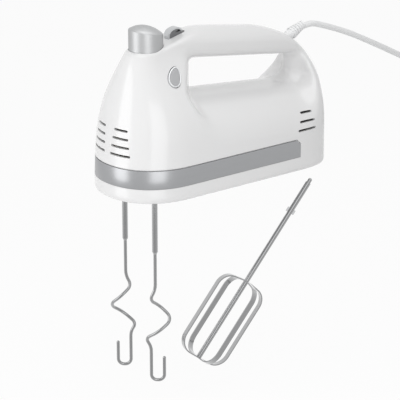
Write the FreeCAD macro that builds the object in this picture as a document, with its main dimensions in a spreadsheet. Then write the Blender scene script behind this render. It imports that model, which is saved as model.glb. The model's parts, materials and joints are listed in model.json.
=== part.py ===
import FreeCAD, Part
import Sketcher
import math
import os

from FreeCAD import Placement, Rotation, Vector

# A hand mixer: closed-loop handle, upright nose with the eject button on top, two dough hooks
# under the nose, one loose wire beater, and a mains lead that leaves the rear of the handle.
#
# Bench coordinates are used while the pieces are shaped: x runs from the nose tip to the heel,
# y is zero on the mid-plane (the left side is -y) and z is measured up from the flat base.
# Every finished piece is then moved so that the centre of the handle grip is the origin.

doc = FreeCAD.newDocument("HandMixer")
sheet = doc.addObject("Spreadsheet::Sheet", "Sizes")

DRIVING = [
    # body shell
    ("body_length", 203.5, "nose tip to the rearmost point of the heel"),
    ("body_width", 90, "across the sides of the base"),
    ("wall", 2.4, "housing wall"),
    ("crown_height", 137.5, "height of the sloping crown line above the nose tip"),
    ("crown_fall", 0.15, "fall of the crown line for each mm towards the heel"),
    ("nose_lean", 36.5, "how far the nose leans back from base to crown"),
    ("heel_lean", 3.5, "how far the heel leans back up to its fullest height"),
    ("shoulder", 54, "length of the round shoulder from heel to handle"),
    ("grip_width", 29, "across the handle"),
    ("grip_place", 122, "centre of the grip behind the nose tip"),
    ("grip_height", 107, "centre of the grip above the base"),
    ("base_edge", 2.4, "rounding of the bottom edge"),
    # deck between the nose and the handle, under the speed slider
    ("deck_height", 113.5, "deck height at the eject button"),
    ("deck_rise", 0.24, "rise of the deck for each mm towards the heel"),
    # handle opening, on the mid-plane
    ("gap_front", 77.5, "front end of the handle opening"),
    ("gap_rear", 181, "rear end of the handle opening"),
    ("gap_top", 100.5, "top of the opening at its front end"),
    ("gap_top_fall", 0.132, "fall of its top for each mm"),
    ("gap_floor", 73.8, "floor of the opening at its front end"),
    ("gap_floor_fall", 0.087, "fall of its floor for each mm"),
    # trim band
    ("band_low", 12.3, "lower edge of the trim band"),
    ("band_height", 15, "trim band height"),
    ("band_thick", 1.2, "trim band thickness"),
    ("band_end", 161, "rear end of the band behind the nose tip"),
    ("band_gap", 0.9, "shadow gap above the band"),
    # eject button
    ("eject_place", 39.5, "eject button axis behind the nose tip"),
    ("eject_radius", 13.4, "eject button radius"),
    ("eject_top", 128, "middle of the eject button's sloping top"),
    ("eject_slope", 11, "slope of its top in degrees"),
    ("eject_travel", 8, "how far it presses in"),
    # tools
    ("spindle_place", 32, "spindle axes behind the nose tip"),
    ("spindle_spacing", 40, "between the spindle axes"),
    ("spindle_radius", 4.6, "outside of a spindle tube"),
    ("spindle_top", 53, "top end of a spindle"),
    ("shank_radius", 2.3, "shank of a hook or beater"),
    ("wire_radius", 1.35, "wire of a hook"),
    ("shank_top", 46, "top end of a hook's shank in its spindle"),
    ("sleeve_low", 46.7, "shank's lower end below the base"),
    ("hook_low", 157.5, "lowest point of a hook below the base"),
    ("hook_throw", 12.2, "reach of a hook's main bend"),
    # drive
    ("axis_height", 34, "motor and worm axis above the base"),
    ("shaft_radius", 2.5, "armature shaft"),
    ("gear_module", 1, "module of worm and worm gears"),
    ("gear_teeth", 32, "teeth of a worm gear"),
    ("gear_face", 10, "face width of a worm gear"),
    ("worm_pitch_radius", 4, "pitch radius of the worm"),
    ("stator_size", 52, "stator, across"),
    ("stator_length", 34, "stator, along the shaft"),
    ("stator_place", 82, "front face of the stator behind the nose tip"),
    ("rotor_radius", 14.6, "armature core"),
    ("rotor_gap", 0.7, "air gap between armature and stator"),
    ("running_gap", 0.05, "radial clearance of a shaft in its bush"),
    ("slip_gap", 0.3, "clearance of buttons and sliders"),
    # speed slider
    ("slider_place", 64, "speed slider at rest behind the nose tip"),
    ("slider_travel", 8, "travel of the speed slider"),
    # mains lead
    ("lead_diameter", 5, "round mains lead"),
    ("coil_radius", 27.5, "coil of spare lead, to the middle of its turns"),
    # loose beater
    ("beater_length", 172, "loose beater, end to end"),
    ("beater_head", 74, "length of its head"),
    ("beater_width", 47.5, "width of its head"),
]

for row, (alias, value, note) in enumerate(DRIVING, start=1):
    sheet.set(f"A{row}", note)
    sheet.set(f"B{row}", str(value))
    sheet.setAlias(f"B{row}", alias)
doc.recompute()


def mm(alias):
    """A driving dimension read back from the sheet."""
    return float(sheet.get(alias))


FRAME = Placement(Vector(-mm("grip_place"), 0, -mm("grip_height")), Rotation())
X_AXIS = Vector(1, 0, 0)
Y_AXIS = Vector(0, 1, 0)
Z_AXIS = Vector(0, 0, 1)
ALONG_X = Rotation(Z_AXIS, X_AXIS)
ALONG_Y = Rotation(Z_AXIS, Y_AXIS)
FAR = 400.0
finished = []


def keep(item, name):
    """Names a finished sub-part and moves it from bench coordinates into the mixer's frame."""
    item.Label = name
    item.Placement = FRAME.multiply(item.Placement)
    finished.append(item)
    return item


def shaped(name, shape):
    """A sub-part whose shape is worked out here."""
    item = doc.addObject("Part::Feature", name)
    item.Shape = shape
    return keep(item, name)


def bound(kind, name, place, **sizes):
    """A primitive whose sizes are bound to the sheet: each size is an expression."""
    item = doc.addObject(kind, name)
    for key, expression in sizes.items():
        item.setExpression(key, expression)
    item.Placement = place
    return item


def minus(name, base, tool):
    item = doc.addObject("Part::Cut", name)
    item.Base = base
    item.Tool = tool
    return item


def rod(x, y, z, radius, length, rotation=Rotation()):
    """A cylinder that starts at a point and runs along z, turned by a rotation."""
    solid = Part.makeCylinder(radius, length)
    solid.Placement = Placement(Vector(x, y, z), rotation)
    return solid


def block(low, high):
    """A box between two corners."""
    low, high = Vector(*low), Vector(*high)
    size = high - low
    return Part.makeBox(size.x, size.y, size.z, low)


def ring(x, y, z, outer, inner, length, rotation=Rotation()):
    return rod(x, y, z, outer, length, rotation).cut(rod(x, y, z, inner, length, rotation))


def fused(solids):
    first, *rest = solids
    return first.multiFuse(rest).removeSplitter() if rest else first


def mirrored_y(shape):
    return shape.mirror(Vector(0, 0, 0), Y_AXIS)


def rounded_path(points, radii):
    """Straight runs joined by tangent arcs. radii holds one radius for each inner point."""
    edges = []
    start = points[0]
    for before, corner, after, radius in zip(points, points[1:], points[2:], radii):
        back = (before - corner).normalize()
        onward = (after - corner).normalize()
        half = (math.pi - back.getAngle(onward)) / 2
        reach = radius * math.tan(half)
        enter = corner + back * reach
        leave = corner + onward * reach
        centre = corner + (back + onward).normalize() * (radius / math.cos(half))
        middle = centre + (corner - centre).normalize() * radius
        edges.append(Part.LineSegment(start, enter).toShape())
        edges.append(Part.Arc(enter, middle, leave).toShape())
        start = leave
    edges.append(Part.LineSegment(start, points[-1]).toShape())
    return Part.Wire(edges)


def bend_radii(points, share=0.45):
    """The largest arc at each inner point that its two runs allow."""
    radii = []
    for before, corner, after in zip(points, points[1:], points[2:]):
        back = before - corner
        onward = after - corner
        half = (math.pi - back.getAngle(onward)) / 2
        radii.append(share * min(back.Length, onward.Length) / math.tan(half))
    return radii


def rounded_loop(corners, radii):
    """A closed outline with one arc at each corner."""
    count = len(corners)
    edges = []
    ends = []
    for i in range(count):
        corner = corners[i]
        back = (corners[i - 1] - corner).normalize()
        onward = (corners[(i + 1) % count] - corner).normalize()
        half = (math.pi - back.getAngle(onward)) / 2
        reach = radii[i] * math.tan(half)
        centre = corner + (back + onward).normalize() * (radii[i] / math.cos(half))
        middle = centre + (corner - centre).normalize() * radii[i]
        ends.append((corner + back * reach, middle, corner + onward * reach))
    for i in range(count):
        enter, middle, leave = ends[i]
        edges.append(Part.Arc(enter, middle, leave).toShape())
        edges.append(Part.LineSegment(leave, ends[(i + 1) % count][0]).toShape())
    return Part.Wire(edges)


def tube(path, radius):
    """A round bar swept along a path of runs and arcs."""
    first = path.OrderedEdges[0]
    normal = first.tangentAt(first.FirstParameter)
    start = first.valueAt(first.FirstParameter)
    section = Part.Wire(Part.makeCircle(radius, start, normal))
    return path.makePipeShell([section], True, True)


# ---------------------------------------------------------------------------
# Outer form of the housing
# ---------------------------------------------------------------------------
# The hull is a stack of planar outlines. Level 0 is the base and level 1 is the crown line, and
# the planes between fan out, so the crown slopes while the base stays flat.

FULL_LEVEL = 0.28          # the sides stand upright up to this level
GRIP_LEVEL = 0.90          # and have drawn in to the handle's width here
HEEL_LEVEL = 0.62          # the heel is fullest here
NOSE_POWER = 2.5
DRAW_POWER = 1.4
OUTLINE_POINTS = 8         # to each quarter of an outline
HULL_LEVELS = (0, 0.008, 0.03, 0.12, 0.28, 0.42, 0.55, 0.66, 0.76, 0.85, 0.91, 0.95, 0.98, 1.0)


def crown(x):
    return mm("crown_height") - mm("crown_fall") * x


def half_width(level):
    """Half the hull's width: upright, then drawn in along a cosine, then a round crown."""
    base = mm("body_width") / 2
    grip = mm("grip_width") / 2
    drawn = min(max((level - FULL_LEVEL) / (GRIP_LEVEL - FULL_LEVEL), 0), 1)
    width = grip + (base - grip) * (1 + math.cos(math.pi * drawn**DRAW_POWER)) / 2
    round_over = max((level - GRIP_LEVEL) / (1.004 - GRIP_LEVEL), 0)
    return width * math.sqrt(1 - round_over**2)


def nose_at(level):
    return mm("nose_lean") * level**NOSE_POWER


def heel_at(level):
    full = mm("body_length")
    rise = min(level / HEEL_LEVEL, 1)
    over = max((level - HEEL_LEVEL) / (1 - HEEL_LEVEL), 0)
    lean = mm("heel_lean") * (1 - rise)
    return full - lean - mm("shoulder") * (1 - math.sqrt(1 - over**2))


def edge_inset(level):
    """How far the rounded bottom edge stands in."""
    height = level * crown(mm("body_length") / 2)
    radius = mm("base_edge")
    if height >= radius:
        return 0
    return radius - math.sqrt(radius**2 - (radius - height) ** 2)


def hull_outline(level, inset=0):
    """Closed outline at one level: a round nose, straight sides and a squarer heel."""
    shrink = inset + edge_inset(level)
    width = max(half_width(level) - shrink, 0.8)
    nose = nose_at(level) + shrink
    heel = heel_at(level) - shrink
    nose_run = width + 2.5
    heel_run = width + 5
    nose_power = 2 / 2.17
    heel_power = 2 / (4 - 1.7 * level)
    plan = []
    for i in range(-OUTLINE_POINTS, OUTLINE_POINTS + 1):
        angle = math.pi / 2 * i / OUTLINE_POINTS
        side = math.copysign(abs(math.sin(angle)) ** nose_power, angle)
        plan.append((nose + nose_run - nose_run * abs(math.cos(angle)) ** nose_power, side * width))
    middle = (nose + nose_run + heel - heel_run) / 2
    plan.append((middle, width))
    for i in range(OUTLINE_POINTS, -OUTLINE_POINTS - 1, -1):
        angle = math.pi / 2 * i / OUTLINE_POINTS
        side = math.copysign(abs(math.sin(angle)) ** heel_power, angle)
        plan.append((heel - heel_run + heel_run * abs(math.cos(angle)) ** heel_power, side * width))
    plan.append((middle, -width))
    points = [Vector(x, y, inset + level * (crown(x) - 2 * inset)) for x, y in plan]
    curve = Part.BSplineCurve()
    curve.interpolate(points, PeriodicFlag=True)
    return Part.Wire(curve.toShape())


def deck(x):
    return mm("deck_height") + mm("deck_rise") * (x - mm("eject_place"))


DECK_TILT = Rotation(Y_AXIS, -math.degrees(math.atan(mm("deck_rise"))))


def on_deck(x, lift=0):
    """Placement on the deck at x, with local x running up the deck."""
    normal = DECK_TILT.multVec(Z_AXIS)
    return Placement(Vector(x, 0, deck(x)) + normal * lift, DECK_TILT)


def above_deck(drop=0):
    """Everything above the deck plane, lowered by a wall for the inside."""
    slab = Part.makeBox(FAR, FAR, FAR, Vector(-FAR / 2, -FAR / 2, 0))
    slab.Placement = on_deck(mm("eject_place"), -drop)
    return slab


# The handle opening flares towards both sides. Its outline is a four-sided loop with round
# corners whose four lines stand further out as the distance from the mid-plane grows.

FLARE_STATIONS = (0, 6, 11, 16, 22, 30, 38, 46, 54)
TOP_FLARE = 11.0
FLOOR_FLARE = 38.0
FRONT_FLARE = 21.5
REAR_FLARE = 8.0


def round_out(depth, reach, y):
    """A quarter ellipse: 0 on the mid-plane, and depth at reach."""
    share = min(abs(y) / reach, 0.999)
    return depth * (1 - math.sqrt(1 - share**2))


def ease_out(depth, reach, y):
    """A smooth step from 0 on the mid-plane to depth at reach."""
    return depth * math.sin(math.pi / 2 * min(abs(y) / reach, 1)) ** 2


def gap_outline(y, grow=0):
    grip = mm("grip_width") / 2
    front = mm("gap_front") - ease_out(FRONT_FLARE, 0.8 * mm("body_width") / 2, y) - grow
    rear = mm("gap_rear") + ease_out(REAR_FLARE, 18, y) + grow
    up = round_out(TOP_FLARE, grip, y) + grow + 0.25 * max(abs(y) - grip, 0)
    down = round_out(FLOOR_FLARE, mm("body_width") / 2 + 1, y) + grow

    def top(x):
        return mm("gap_top") - mm("gap_top_fall") * (x - mm("gap_front")) + up

    def floor(x):
        return mm("gap_floor") - mm("gap_floor_fall") * (x - mm("gap_front")) - down

    rear_low = rear - 3
    corners = [
        Vector(front, y, floor(front)),
        Vector(front, y, top(front)),
        Vector(rear, y, top(rear)),
        Vector(rear_low, y, floor(rear_low)),
    ]
    spread = 0.9 * max(abs(y) - grip, 0)
    radii = [4 + spread, 6 + 0.3 * spread, 4 + 0.3 * spread, 17 + spread]
    radii = [radius + grow for radius in radii]
    return rounded_loop(corners, radii)


def opening_tool(grow=0):
    """The flared space through the handle, as a loft from one side to the other."""
    sides = [-y for y in reversed(FLARE_STATIONS[1:])] + list(FLARE_STATIONS)
    return Part.makeLoft([gap_outline(y, grow) for y in sides], True, False)


hull = Part.makeLoft([hull_outline(level) for level in HULL_LEVELS], True, False)
cavity = Part.makeLoft([hull_outline(level, mm("wall")) for level in HULL_LEVELS], True, False)
outer_form = hull.cut(above_deck()).cut(opening_tool())
inner_form = cavity.cut(above_deck(mm("wall"))).cut(opening_tool(mm("wall")))
shell = outer_form.cut(inner_form)

# Ribs and bosses end in the middle of the wall, so that they join it wherever it curves.
ROOT = 0.75
root_core = Part.makeLoft([hull_outline(level, ROOT * mm("wall")) for level in HULL_LEVELS], True, False)
root_form = root_core.cut(above_deck(ROOT * mm("wall"))).cut(opening_tool(ROOT * mm("wall")))

# ---------------------------------------------------------------------------
# Trim band
# ---------------------------------------------------------------------------
BAND_CORNER = 4.0
band_top = mm("band_low") + mm("band_height")


def band_slab(low, high, corner=0):
    """The space between two heights, ahead of the band's rear end."""
    slab = block((-FAR, -FAR, low), (mm("band_end"), FAR, high))
    if corner:
        crest = [e for e in slab.Edges if abs(e.CenterOfMass.x - mm("band_end")) < 1e-6
                 and abs(e.CenterOfMass.z - high) < 1e-6]
        slab = slab.makeFillet(corner, crest)
    return slab


band_core = Part.makeLoft([hull_outline(level, mm("band_thick")) for level in HULL_LEVELS], True, False)
trim_band = hull.common(band_slab(mm("band_low"), band_top, BAND_CORNER)).cut(band_core)
band_groove = band_slab(mm("band_low"), band_top + mm("band_gap"), BAND_CORNER)
shell = shell.cut(hull.common(band_groove).cut(band_core))

# ---------------------------------------------------------------------------
# Screw bosses that clamp the two halves together
# ---------------------------------------------------------------------------
BOSS_RADIUS = 4.2
SCREW_RADIUS = 1.4
SCREW_HEAD_RADIUS = 2.8
SCREW_HEAD = 2.2
SCREW_SEAT = 10.0          # the screw heads bear this far right of the mid-plane
SCREW_GRIP = 11.0          # and the screws reach this far into the left half
boss_places = [
    (20, 78),
    (60, 60),
    (95, mm("grip_height") + 3.7),
    (190, 62),
    (189, 10),
    (67, 8),
    (146, 8),
]


def across(x, z, start, end, radius):
    """A cylinder along y between two distances from the mid-plane."""
    return rod(x, start, z, radius, end - start, ALONG_Y)


bosses = Part.makeCompound([across(x, z, -FAR, FAR, BOSS_RADIUS) for x, z in boss_places])
bosses = bosses.common(root_form)
screw_bore = Part.makeCompound([across(x, z, -SCREW_GRIP, SCREW_SEAT, SCREW_RADIUS) for x, z in boss_places])
head_bore = Part.makeCompound(
    [across(x, z, SCREW_SEAT, FAR, SCREW_HEAD_RADIUS + mm("slip_gap")) for x, z in boss_places]
)
housing_screws = [
    across(x, z, -SCREW_GRIP, SCREW_SEAT, SCREW_RADIUS)
    .fuse(across(x, z, SCREW_SEAT, SCREW_SEAT + SCREW_HEAD, SCREW_HEAD_RADIUS))
    .cut(block((x - 2, SCREW_SEAT + SCREW_HEAD - 1, z - 0.4), (x + 2, SCREW_SEAT + SCREW_HEAD, z + 0.4)))
    for x, z in boss_places
]

# ---------------------------------------------------------------------------
# Vents
# ---------------------------------------------------------------------------
SLOT = 1.9
NOSE_SLOTS = ((37.5, 4.5, 29), (44, 5.5, 27.5), (50.5, 6.5, 26), (57, 8, 24.5))   # height, angles
HEEL_SLOTS = ((34.5, 158.5, 178), (41, 161.5, 177), (47.5, 164.5, 176))           # height, ends
nose_centre = mm("body_width") / 2 + 2.5


def nose_slot(height, start, end, side):
    """A slot through the nose wall between two angles from the nose tip."""
    reach = nose_centre + 5
    middle = math.radians(start + end) / 2
    chord = 2 * nose_centre * math.sin(math.radians(end - start) / 2)
    cutter = block((0, -chord / 2, -SLOT / 2), (22, chord / 2, SLOT / 2))
    spin = Rotation(Z_AXIS, side * math.degrees(middle))
    away = spin.multVec(Vector(-reach, 0, 0))
    cutter.Placement = Placement(Vector(nose_centre, 0, height) + away, spin)
    return cutter


vents = [nose_slot(z, start, end, side) for z, start, end in NOSE_SLOTS for side in (-1, 1)]
for height, start, end in HEEL_SLOTS:
    for side in (-1, 1):
        far = side * mm("body_width")
        near = side * 0.3 * mm("body_width")
        low, high = sorted((far, near))
        vents.append(block((start, low, height - SLOT / 2), (end, high, height + SLOT / 2)))

# ---------------------------------------------------------------------------
# Openings for the controls, spindles and strain relief
# ---------------------------------------------------------------------------
spindle_sides = {"left": -mm("spindle_spacing") / 2, "right": mm("spindle_spacing") / 2}
EJECT_HOLE = mm("eject_radius") + mm("slip_gap")
eject_hole = rod(mm("eject_place"), 0, mm("deck_height") - 20, EJECT_HOLE, 60)
spindle_holes = [
    rod(mm("spindle_place"), y, -5, mm("spindle_radius") + 0.6, 15) for y in spindle_sides.values()
]
SLIDER_STEM_WIDTH = 4.4
SLIDER_LENGTH = 10.0
SLIDER_WIDTH = 14.0
SLIDER_LIFT = 8.0
slot_start = mm("slider_place") - SLIDER_LENGTH / 2 + 2
slot_end = mm("slider_place") + mm("slider_travel") + SLIDER_LENGTH / 2
slider_slot = Part.makeBox(slot_end - slot_start, SLIDER_STEM_WIDTH + 1, 12)
slider_slot.Placement = on_deck(slot_start, -6).multiply(
    Placement(Vector(0, -SLIDER_STEM_WIDTH / 2 - 0.5, 0), Rotation())
)

# The turbo button sits on the left side, square to the sloping wall there.
TURBO_PLACE = Vector(48.3, -23.9, 94.3)
TURBO_LEAN = 34.0          # its axis points this far above the horizontal
TURBO_TRAVEL = 1.5
TURBO_RADIUS = 5.7
TURBO_SPIN = -23.0         # turns the drop's point towards the heel
TURBO_POINT = 12.3         # from the round end's centre to the drop's point
turbo_turn = Rotation(X_AXIS, 90 - TURBO_LEAN).multiply(Rotation(Z_AXIS, TURBO_SPIN))


def on_turbo(solid):
    """Moves a shape into the turbo button's frame, with z out of the wall and y up it."""
    solid.Placement = Placement(TURBO_PLACE, turbo_turn).multiply(solid.Placement)
    return solid


def drop_outline(grow):
    """A drop: a round lower end and two straight flanks that meet in a small round point."""
    big = TURBO_RADIUS + grow
    small = 1.6 + grow
    far = TURBO_POINT - 1.6
    lean = math.asin((big - small) / far)
    side = Vector(math.cos(lean), math.sin(lean), 0)
    mirror = Vector(-side.x, side.y, 0)
    crest = Vector(0, far, 0)
    edges = [
        Part.Arc(side * big, Vector(0, -big, 0), mirror * big).toShape(),
        Part.LineSegment(mirror * big, crest + mirror * small).toShape(),
        Part.Arc(crest + mirror * small, crest + Vector(0, small, 0), crest + side * small).toShape(),
        Part.LineSegment(crest + side * small, side * big).toShape(),
    ]
    return Part.Wire(edges)


def drop_solid(grow, low, high):
    solid = Part.Face(drop_outline(grow)).extrude(Vector(0, 0, high - low))
    solid.translate(Vector(0, -TURBO_RADIUS / 2, low))
    return on_turbo(solid)


turbo_hole = drop_solid(mm("slip_gap"), -9, 14)

# The strain relief is clipped into the round shoulder of the handle.
RELIEF_FOOT = Vector(184, 0, 100.5)
RELIEF_TIP = Vector(200, 0, 107.8)
RELIEF_NECK = 4.2
RELIEF_INSIDE = 6.0
relief_way = (RELIEF_TIP - RELIEF_FOOT).normalize()
relief_root = RELIEF_FOOT - relief_way * RELIEF_INSIDE
RELIEF_TURN = Rotation(Z_AXIS, relief_way)
relief_hole = rod(*relief_root, RELIEF_NECK, 14, RELIEF_TURN)

cutters = [eject_hole, slider_slot, turbo_hole, relief_hole] + spindle_holes + vents

# ---------------------------------------------------------------------------
# Seats inside the halves: pads and ribs that carry the drive
# ---------------------------------------------------------------------------
PLATE_LOW = 6.0
PLATE = 3.0
PLATE_HALF = 28.0
plate_front = mm("spindle_place") - 14
plate_rear = mm("spindle_place") + 24
stator_low = mm("axis_height") - mm("stator_size") / 2
stator_rear = mm("stator_place") + mm("stator_length")
STATOR_HALF = 22.0
bearing_rear = stator_rear + 30
BRACKET = 4.0
SHELF_HIGH = 80.0


def rib(low, high):
    """A pair of moulded ribs, one in each half, that end inside the wall."""
    return block(low, high).common(root_form)


ribs = [
    rib((plate_front + 2, 4, 0), (plate_front + 6, 26, PLATE_LOW)),
    rib((plate_front + 2, -26, 0), (plate_front + 6, -4, PLATE_LOW)),
    rib((plate_rear - 6, 3, 0), (plate_rear - 3, 26, PLATE_LOW)),
    rib((plate_rear - 6, -26, 0), (plate_rear - 3, -3, PLATE_LOW)),
    rib((mm("stator_place") + 4, -18, 0), (mm("stator_place") + 8, 18, stator_low)),
    rib((stator_rear - 8, -18, 0), (stator_rear - 4, 18, stator_low)),
    rib((mm("stator_place") + 10, STATOR_HALF, 20), (stator_rear - 10, FAR, 24)),
    rib((mm("stator_place") + 10, -FAR, 20), (stator_rear - 10, -STATOR_HALF, 24)),
    rib((mm("eject_place") - 16, -FAR, SHELF_HIGH - 2), (mm("eject_place") + 18, FAR, SHELF_HIGH)),
]
STEM_RADIUS = 4.0
stem_bore = rod(mm("eject_place"), 0, SHELF_HIGH - 10, STEM_RADIUS + mm("slip_gap"), 20)
ribs[-1] = ribs[-1].cut(stem_bore)

# the seats of the two switches, the clamp and the rear shelf for the electrical parts
SWITCH_TOP = -4.9          # top of the speed switch, measured from the deck
SWITCH_HEIGHT = 7.5
SWITCH_REACH = (-7.0, 17.0)
SWITCH_HALF = 8.0
TURBO_SWITCH = (-14.0, -8.0)
CLAMP_SEAT = 95.7
REAR_SHELF = 16.0
switch_seat = Part.makeBox(6, FAR, 3)
switch_seat.Placement = on_deck(mm("slider_place") + 2, SWITCH_TOP - SWITCH_HEIGHT - 3).multiply(
    Placement(Vector(0, -FAR / 2, 0), Rotation())
)
turbo_seat = on_turbo(block((-1.5, -3, -29), (1.5, 3, TURBO_SWITCH[0])))
ribs.append(switch_seat.common(root_form))
ribs.append(turbo_seat.common(root_form).common(block((-FAR, -FAR, SHELF_HIGH - 2), (FAR, -0.5, FAR))))
ribs.append(rib((158, -FAR, 85), (168, FAR, CLAMP_SEAT)))
ribs.append(rib((158, -FAR, REAR_SHELF - 2), (184, FAR, REAR_SHELF)))

CLAMP_SCREWS = ((163.0, -5.2), (163.0, 5.2))
CLAMP_HIGH = CLAMP_SEAT + 7.0
clamp_bore = Part.makeCompound([rod(x, y, CLAMP_SEAT - 4.5, 1.1, 12) for x, y in CLAMP_SCREWS])
openings = Part.makeCompound(cutters + [screw_bore, head_bore, clamp_bore])
left_side = block((-FAR, -FAR, -FAR), (FAR, 0, FAR))
right_side = block((-FAR, 0, -FAR), (FAR, FAR, FAR))


def housing_half(half_shell, side):
    """One half of the shell with its own share of the bosses and ribs, and every opening cut."""
    inner = [piece.common(side) for piece in [bosses] + ribs]
    return half_shell.multiFuse([piece for piece in inner if piece.Solids]).cut(openings)


right_shell = shell.common(right_side)
right_half = housing_half(right_shell, right_side)
left_half = housing_half(mirrored_y(right_shell), left_side)
if len(left_half.Solids) != 1 or len(right_half.Solids) != 1:
    raise RuntimeError("a housing half is not one solid")
shaped("left_housing", left_half)
shaped("right_housing", right_half)
shaped("trim_band", trim_band)
shaped("housing_screws", Part.makeCompound(housing_screws))


# ---------------------------------------------------------------------------
# Gearbox
# ---------------------------------------------------------------------------
COVER_LOW = 46.0
POST_FRONT = 13.0
POST_THICK = 4.0
POST_HALF = 7.0
WALL_THICK = 4.0
BUSH_WALL = 2.0
BUSH_LONG = 5.0
drive_x = mm("spindle_place")
axis_z = mm("axis_height")
bush_bore = mm("shaft_radius") + mm("running_gap")
spindle_bore = mm("spindle_radius") + mm("running_gap")
wall_x = plate_rear - WALL_THICK


def shaft_ring(x, length, outer):
    """A ring on the motor axis, running on the armature shaft."""
    return ring(x, 0, axis_z, outer, bush_bore, length, ALONG_X)


def plate(low):
    """A flat plate under or over the worm gears, with rounded front corners."""
    slab = block((plate_front, -PLATE_HALF, low), (plate_rear, PLATE_HALF, low + PLATE))
    corners = [e for e in slab.Edges if abs(e.CenterOfMass.x - plate_front) < 1e-6
               and abs(abs(e.CenterOfMass.y) - PLATE_HALF) < 1e-6]
    return slab.makeFillet(8, corners)


def spindle_cut(low, high, radius):
    return Part.makeCompound([rod(drive_x, y, low, radius, high - low) for y in spindle_sides.values()])


seat_radius = spindle_bore + BUSH_WALL
tongue = block((POST_FRONT, -POST_HALF, PLATE_LOW), (plate_front + 1, POST_HALF, PLATE_LOW + PLATE))
post = block((POST_FRONT, -POST_HALF, PLATE_LOW), (POST_FRONT + POST_THICK, POST_HALF, COVER_LOW))
cover_tongue = block((POST_FRONT, -POST_HALF, COVER_LOW), (plate_front + 1, POST_HALF, COVER_LOW + PLATE))
rear_wall = block((wall_x, -24, PLATE_LOW), (plate_rear, 24, COVER_LOW))
GEARBOX_SCREWS = ((POST_FRONT + POST_THICK / 2, 0, 5.5), (wall_x + 2, -18, 16), (wall_x + 2, 18, 16))
GEARBOX_SCREW_RADIUS = 1.1
screw_holes = Part.makeCompound([
    rod(x, y, COVER_LOW - depth, GEARBOX_SCREW_RADIUS, depth + PLATE) for x, y, depth in GEARBOX_SCREWS
])
gearbox_base = fused([plate(PLATE_LOW), tongue, post, rear_wall])
gearbox_base = gearbox_base.cut(spindle_cut(0, 20, seat_radius)).cut(screw_holes)
gearbox_base = gearbox_base.cut(rod(POST_FRONT - 1, 0, axis_z, bush_bore + BUSH_WALL, 6, ALONG_X))
gearbox_base = gearbox_base.cut(rod(wall_x - 1, 0, axis_z, bush_bore + 3.5, 6, ALONG_X))
shaped("gearbox_base", gearbox_base)
gearbox_cover = fused([plate(COVER_LOW), cover_tongue])
shaped("gearbox_cover", gearbox_cover.cut(spindle_cut(40, 55, seat_radius)).cut(screw_holes))
shaped("gearbox_screws", Part.makeCompound([
    rod(x, y, COVER_LOW - depth, GEARBOX_SCREW_RADIUS, depth + PLATE)
    .fuse(rod(x, y, COVER_LOW + PLATE, 2.2, 1.6))
    for x, y, depth in GEARBOX_SCREWS
]))


def bush_pair(name, low):
    """Two plain bushes on the spindles, their sizes tied to the sheet."""
    rings = []
    for side, y in spindle_sides.items():
        seat = Placement(Vector(drive_x, y, low), Rotation())
        outside = bound("Part::Cylinder", f"{name}_{side}_outside", seat,
                        Radius=f"Sizes.spindle_radius + Sizes.running_gap + {BUSH_WALL}", Height=f"{BUSH_LONG}")
        inside = bound("Part::Cylinder", f"{name}_{side}_inside", seat,
                       Radius="Sizes.spindle_radius + Sizes.running_gap", Height=f"{BUSH_LONG}")
        rings.append(minus(f"{name}_{side}", outside, inside))
    pair = doc.addObject("Part::Compound", name)
    pair.Links = rings
    return keep(pair, name)


LOWER_BUSH = PLATE_LOW - 1
UPPER_BUSH = COVER_LOW - 1
bush_pair("lower_bushes", LOWER_BUSH)
bush_pair("upper_bushes", UPPER_BUSH)

# ---------------------------------------------------------------------------
# Worm gears on their spindles
# ---------------------------------------------------------------------------
ADDENDUM = 0.8
DEDENDUM = 1.15
HUB_RADIUS = 7.0
CLIP_RADIUS = 6.6
CLIP_THICK = 1.2
LUG_HALF = 3.6             # a shank's two lugs reach this far from its axis
LUG_THICK = 1.8
LUG_LOW = 12.0
LUG_HIGH = 16.0
pitch = math.pi * mm("gear_module")
teeth = int(mm("gear_teeth"))
pitch_radius = mm("gear_module") * teeth / 2
worm_radius = mm("worm_pitch_radius")
lead_slope = pitch / (2 * math.pi * worm_radius)   # sideways run of a thread for each mm across it


def gear_outline(z, turn):
    """Toothed outline at one height, with trapezoid teeth, turned by an angle."""
    points = []
    for tooth in range(teeth):
        centre = turn + 2 * math.pi * tooth / teeth
        for radius, half in ((pitch_radius - DEDENDUM, -1.02), (pitch_radius + ADDENDUM, -0.38),
                             (pitch_radius + ADDENDUM, 0.38), (pitch_radius - DEDENDUM, 1.02)):
            angle = centre + half * mm("gear_module") / radius
            points.append(Vector(radius * math.cos(angle), radius * math.sin(angle), z))
    return Part.makePolygon(points + points[:1])


def worm_gear(y, tooth_angle):
    """A helical gear whose teeth lie along the worm's thread, with a hub above and below."""
    half = mm("gear_face") / 2
    twist = lead_slope / pitch_radius * half
    ends = [gear_outline(-half, tooth_angle - twist), gear_outline(half, tooth_angle + twist)]
    gear = Part.makeLoft(ends, True, True)
    gear.translate(Vector(drive_x, y, axis_z))
    hub_low = LOWER_BUSH + BUSH_LONG + mm("slip_gap")
    hub_high = UPPER_BUSH - mm("slip_gap")
    gear = gear.fuse(rod(drive_x, y, hub_low, HUB_RADIUS, hub_high - hub_low))
    return gear.cut(rod(drive_x, y, 0, mm("spindle_radius"), 60))


def spindle(y, lug_direction):
    """A tube that takes a tool's shank, slotted from below for the shank's two lugs."""
    low = -0.5
    solid = ring(drive_x, y, low, mm("spindle_radius"), mm("shank_radius") + mm("running_gap"),
                 mm("spindle_top") - low)
    slot = lug_pair(low - 1, LUG_HIGH + 0.5, mm("slip_gap"), lug_direction)
    slot.translate(Vector(drive_x, y, 0))
    return solid.cut(slot)


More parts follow.
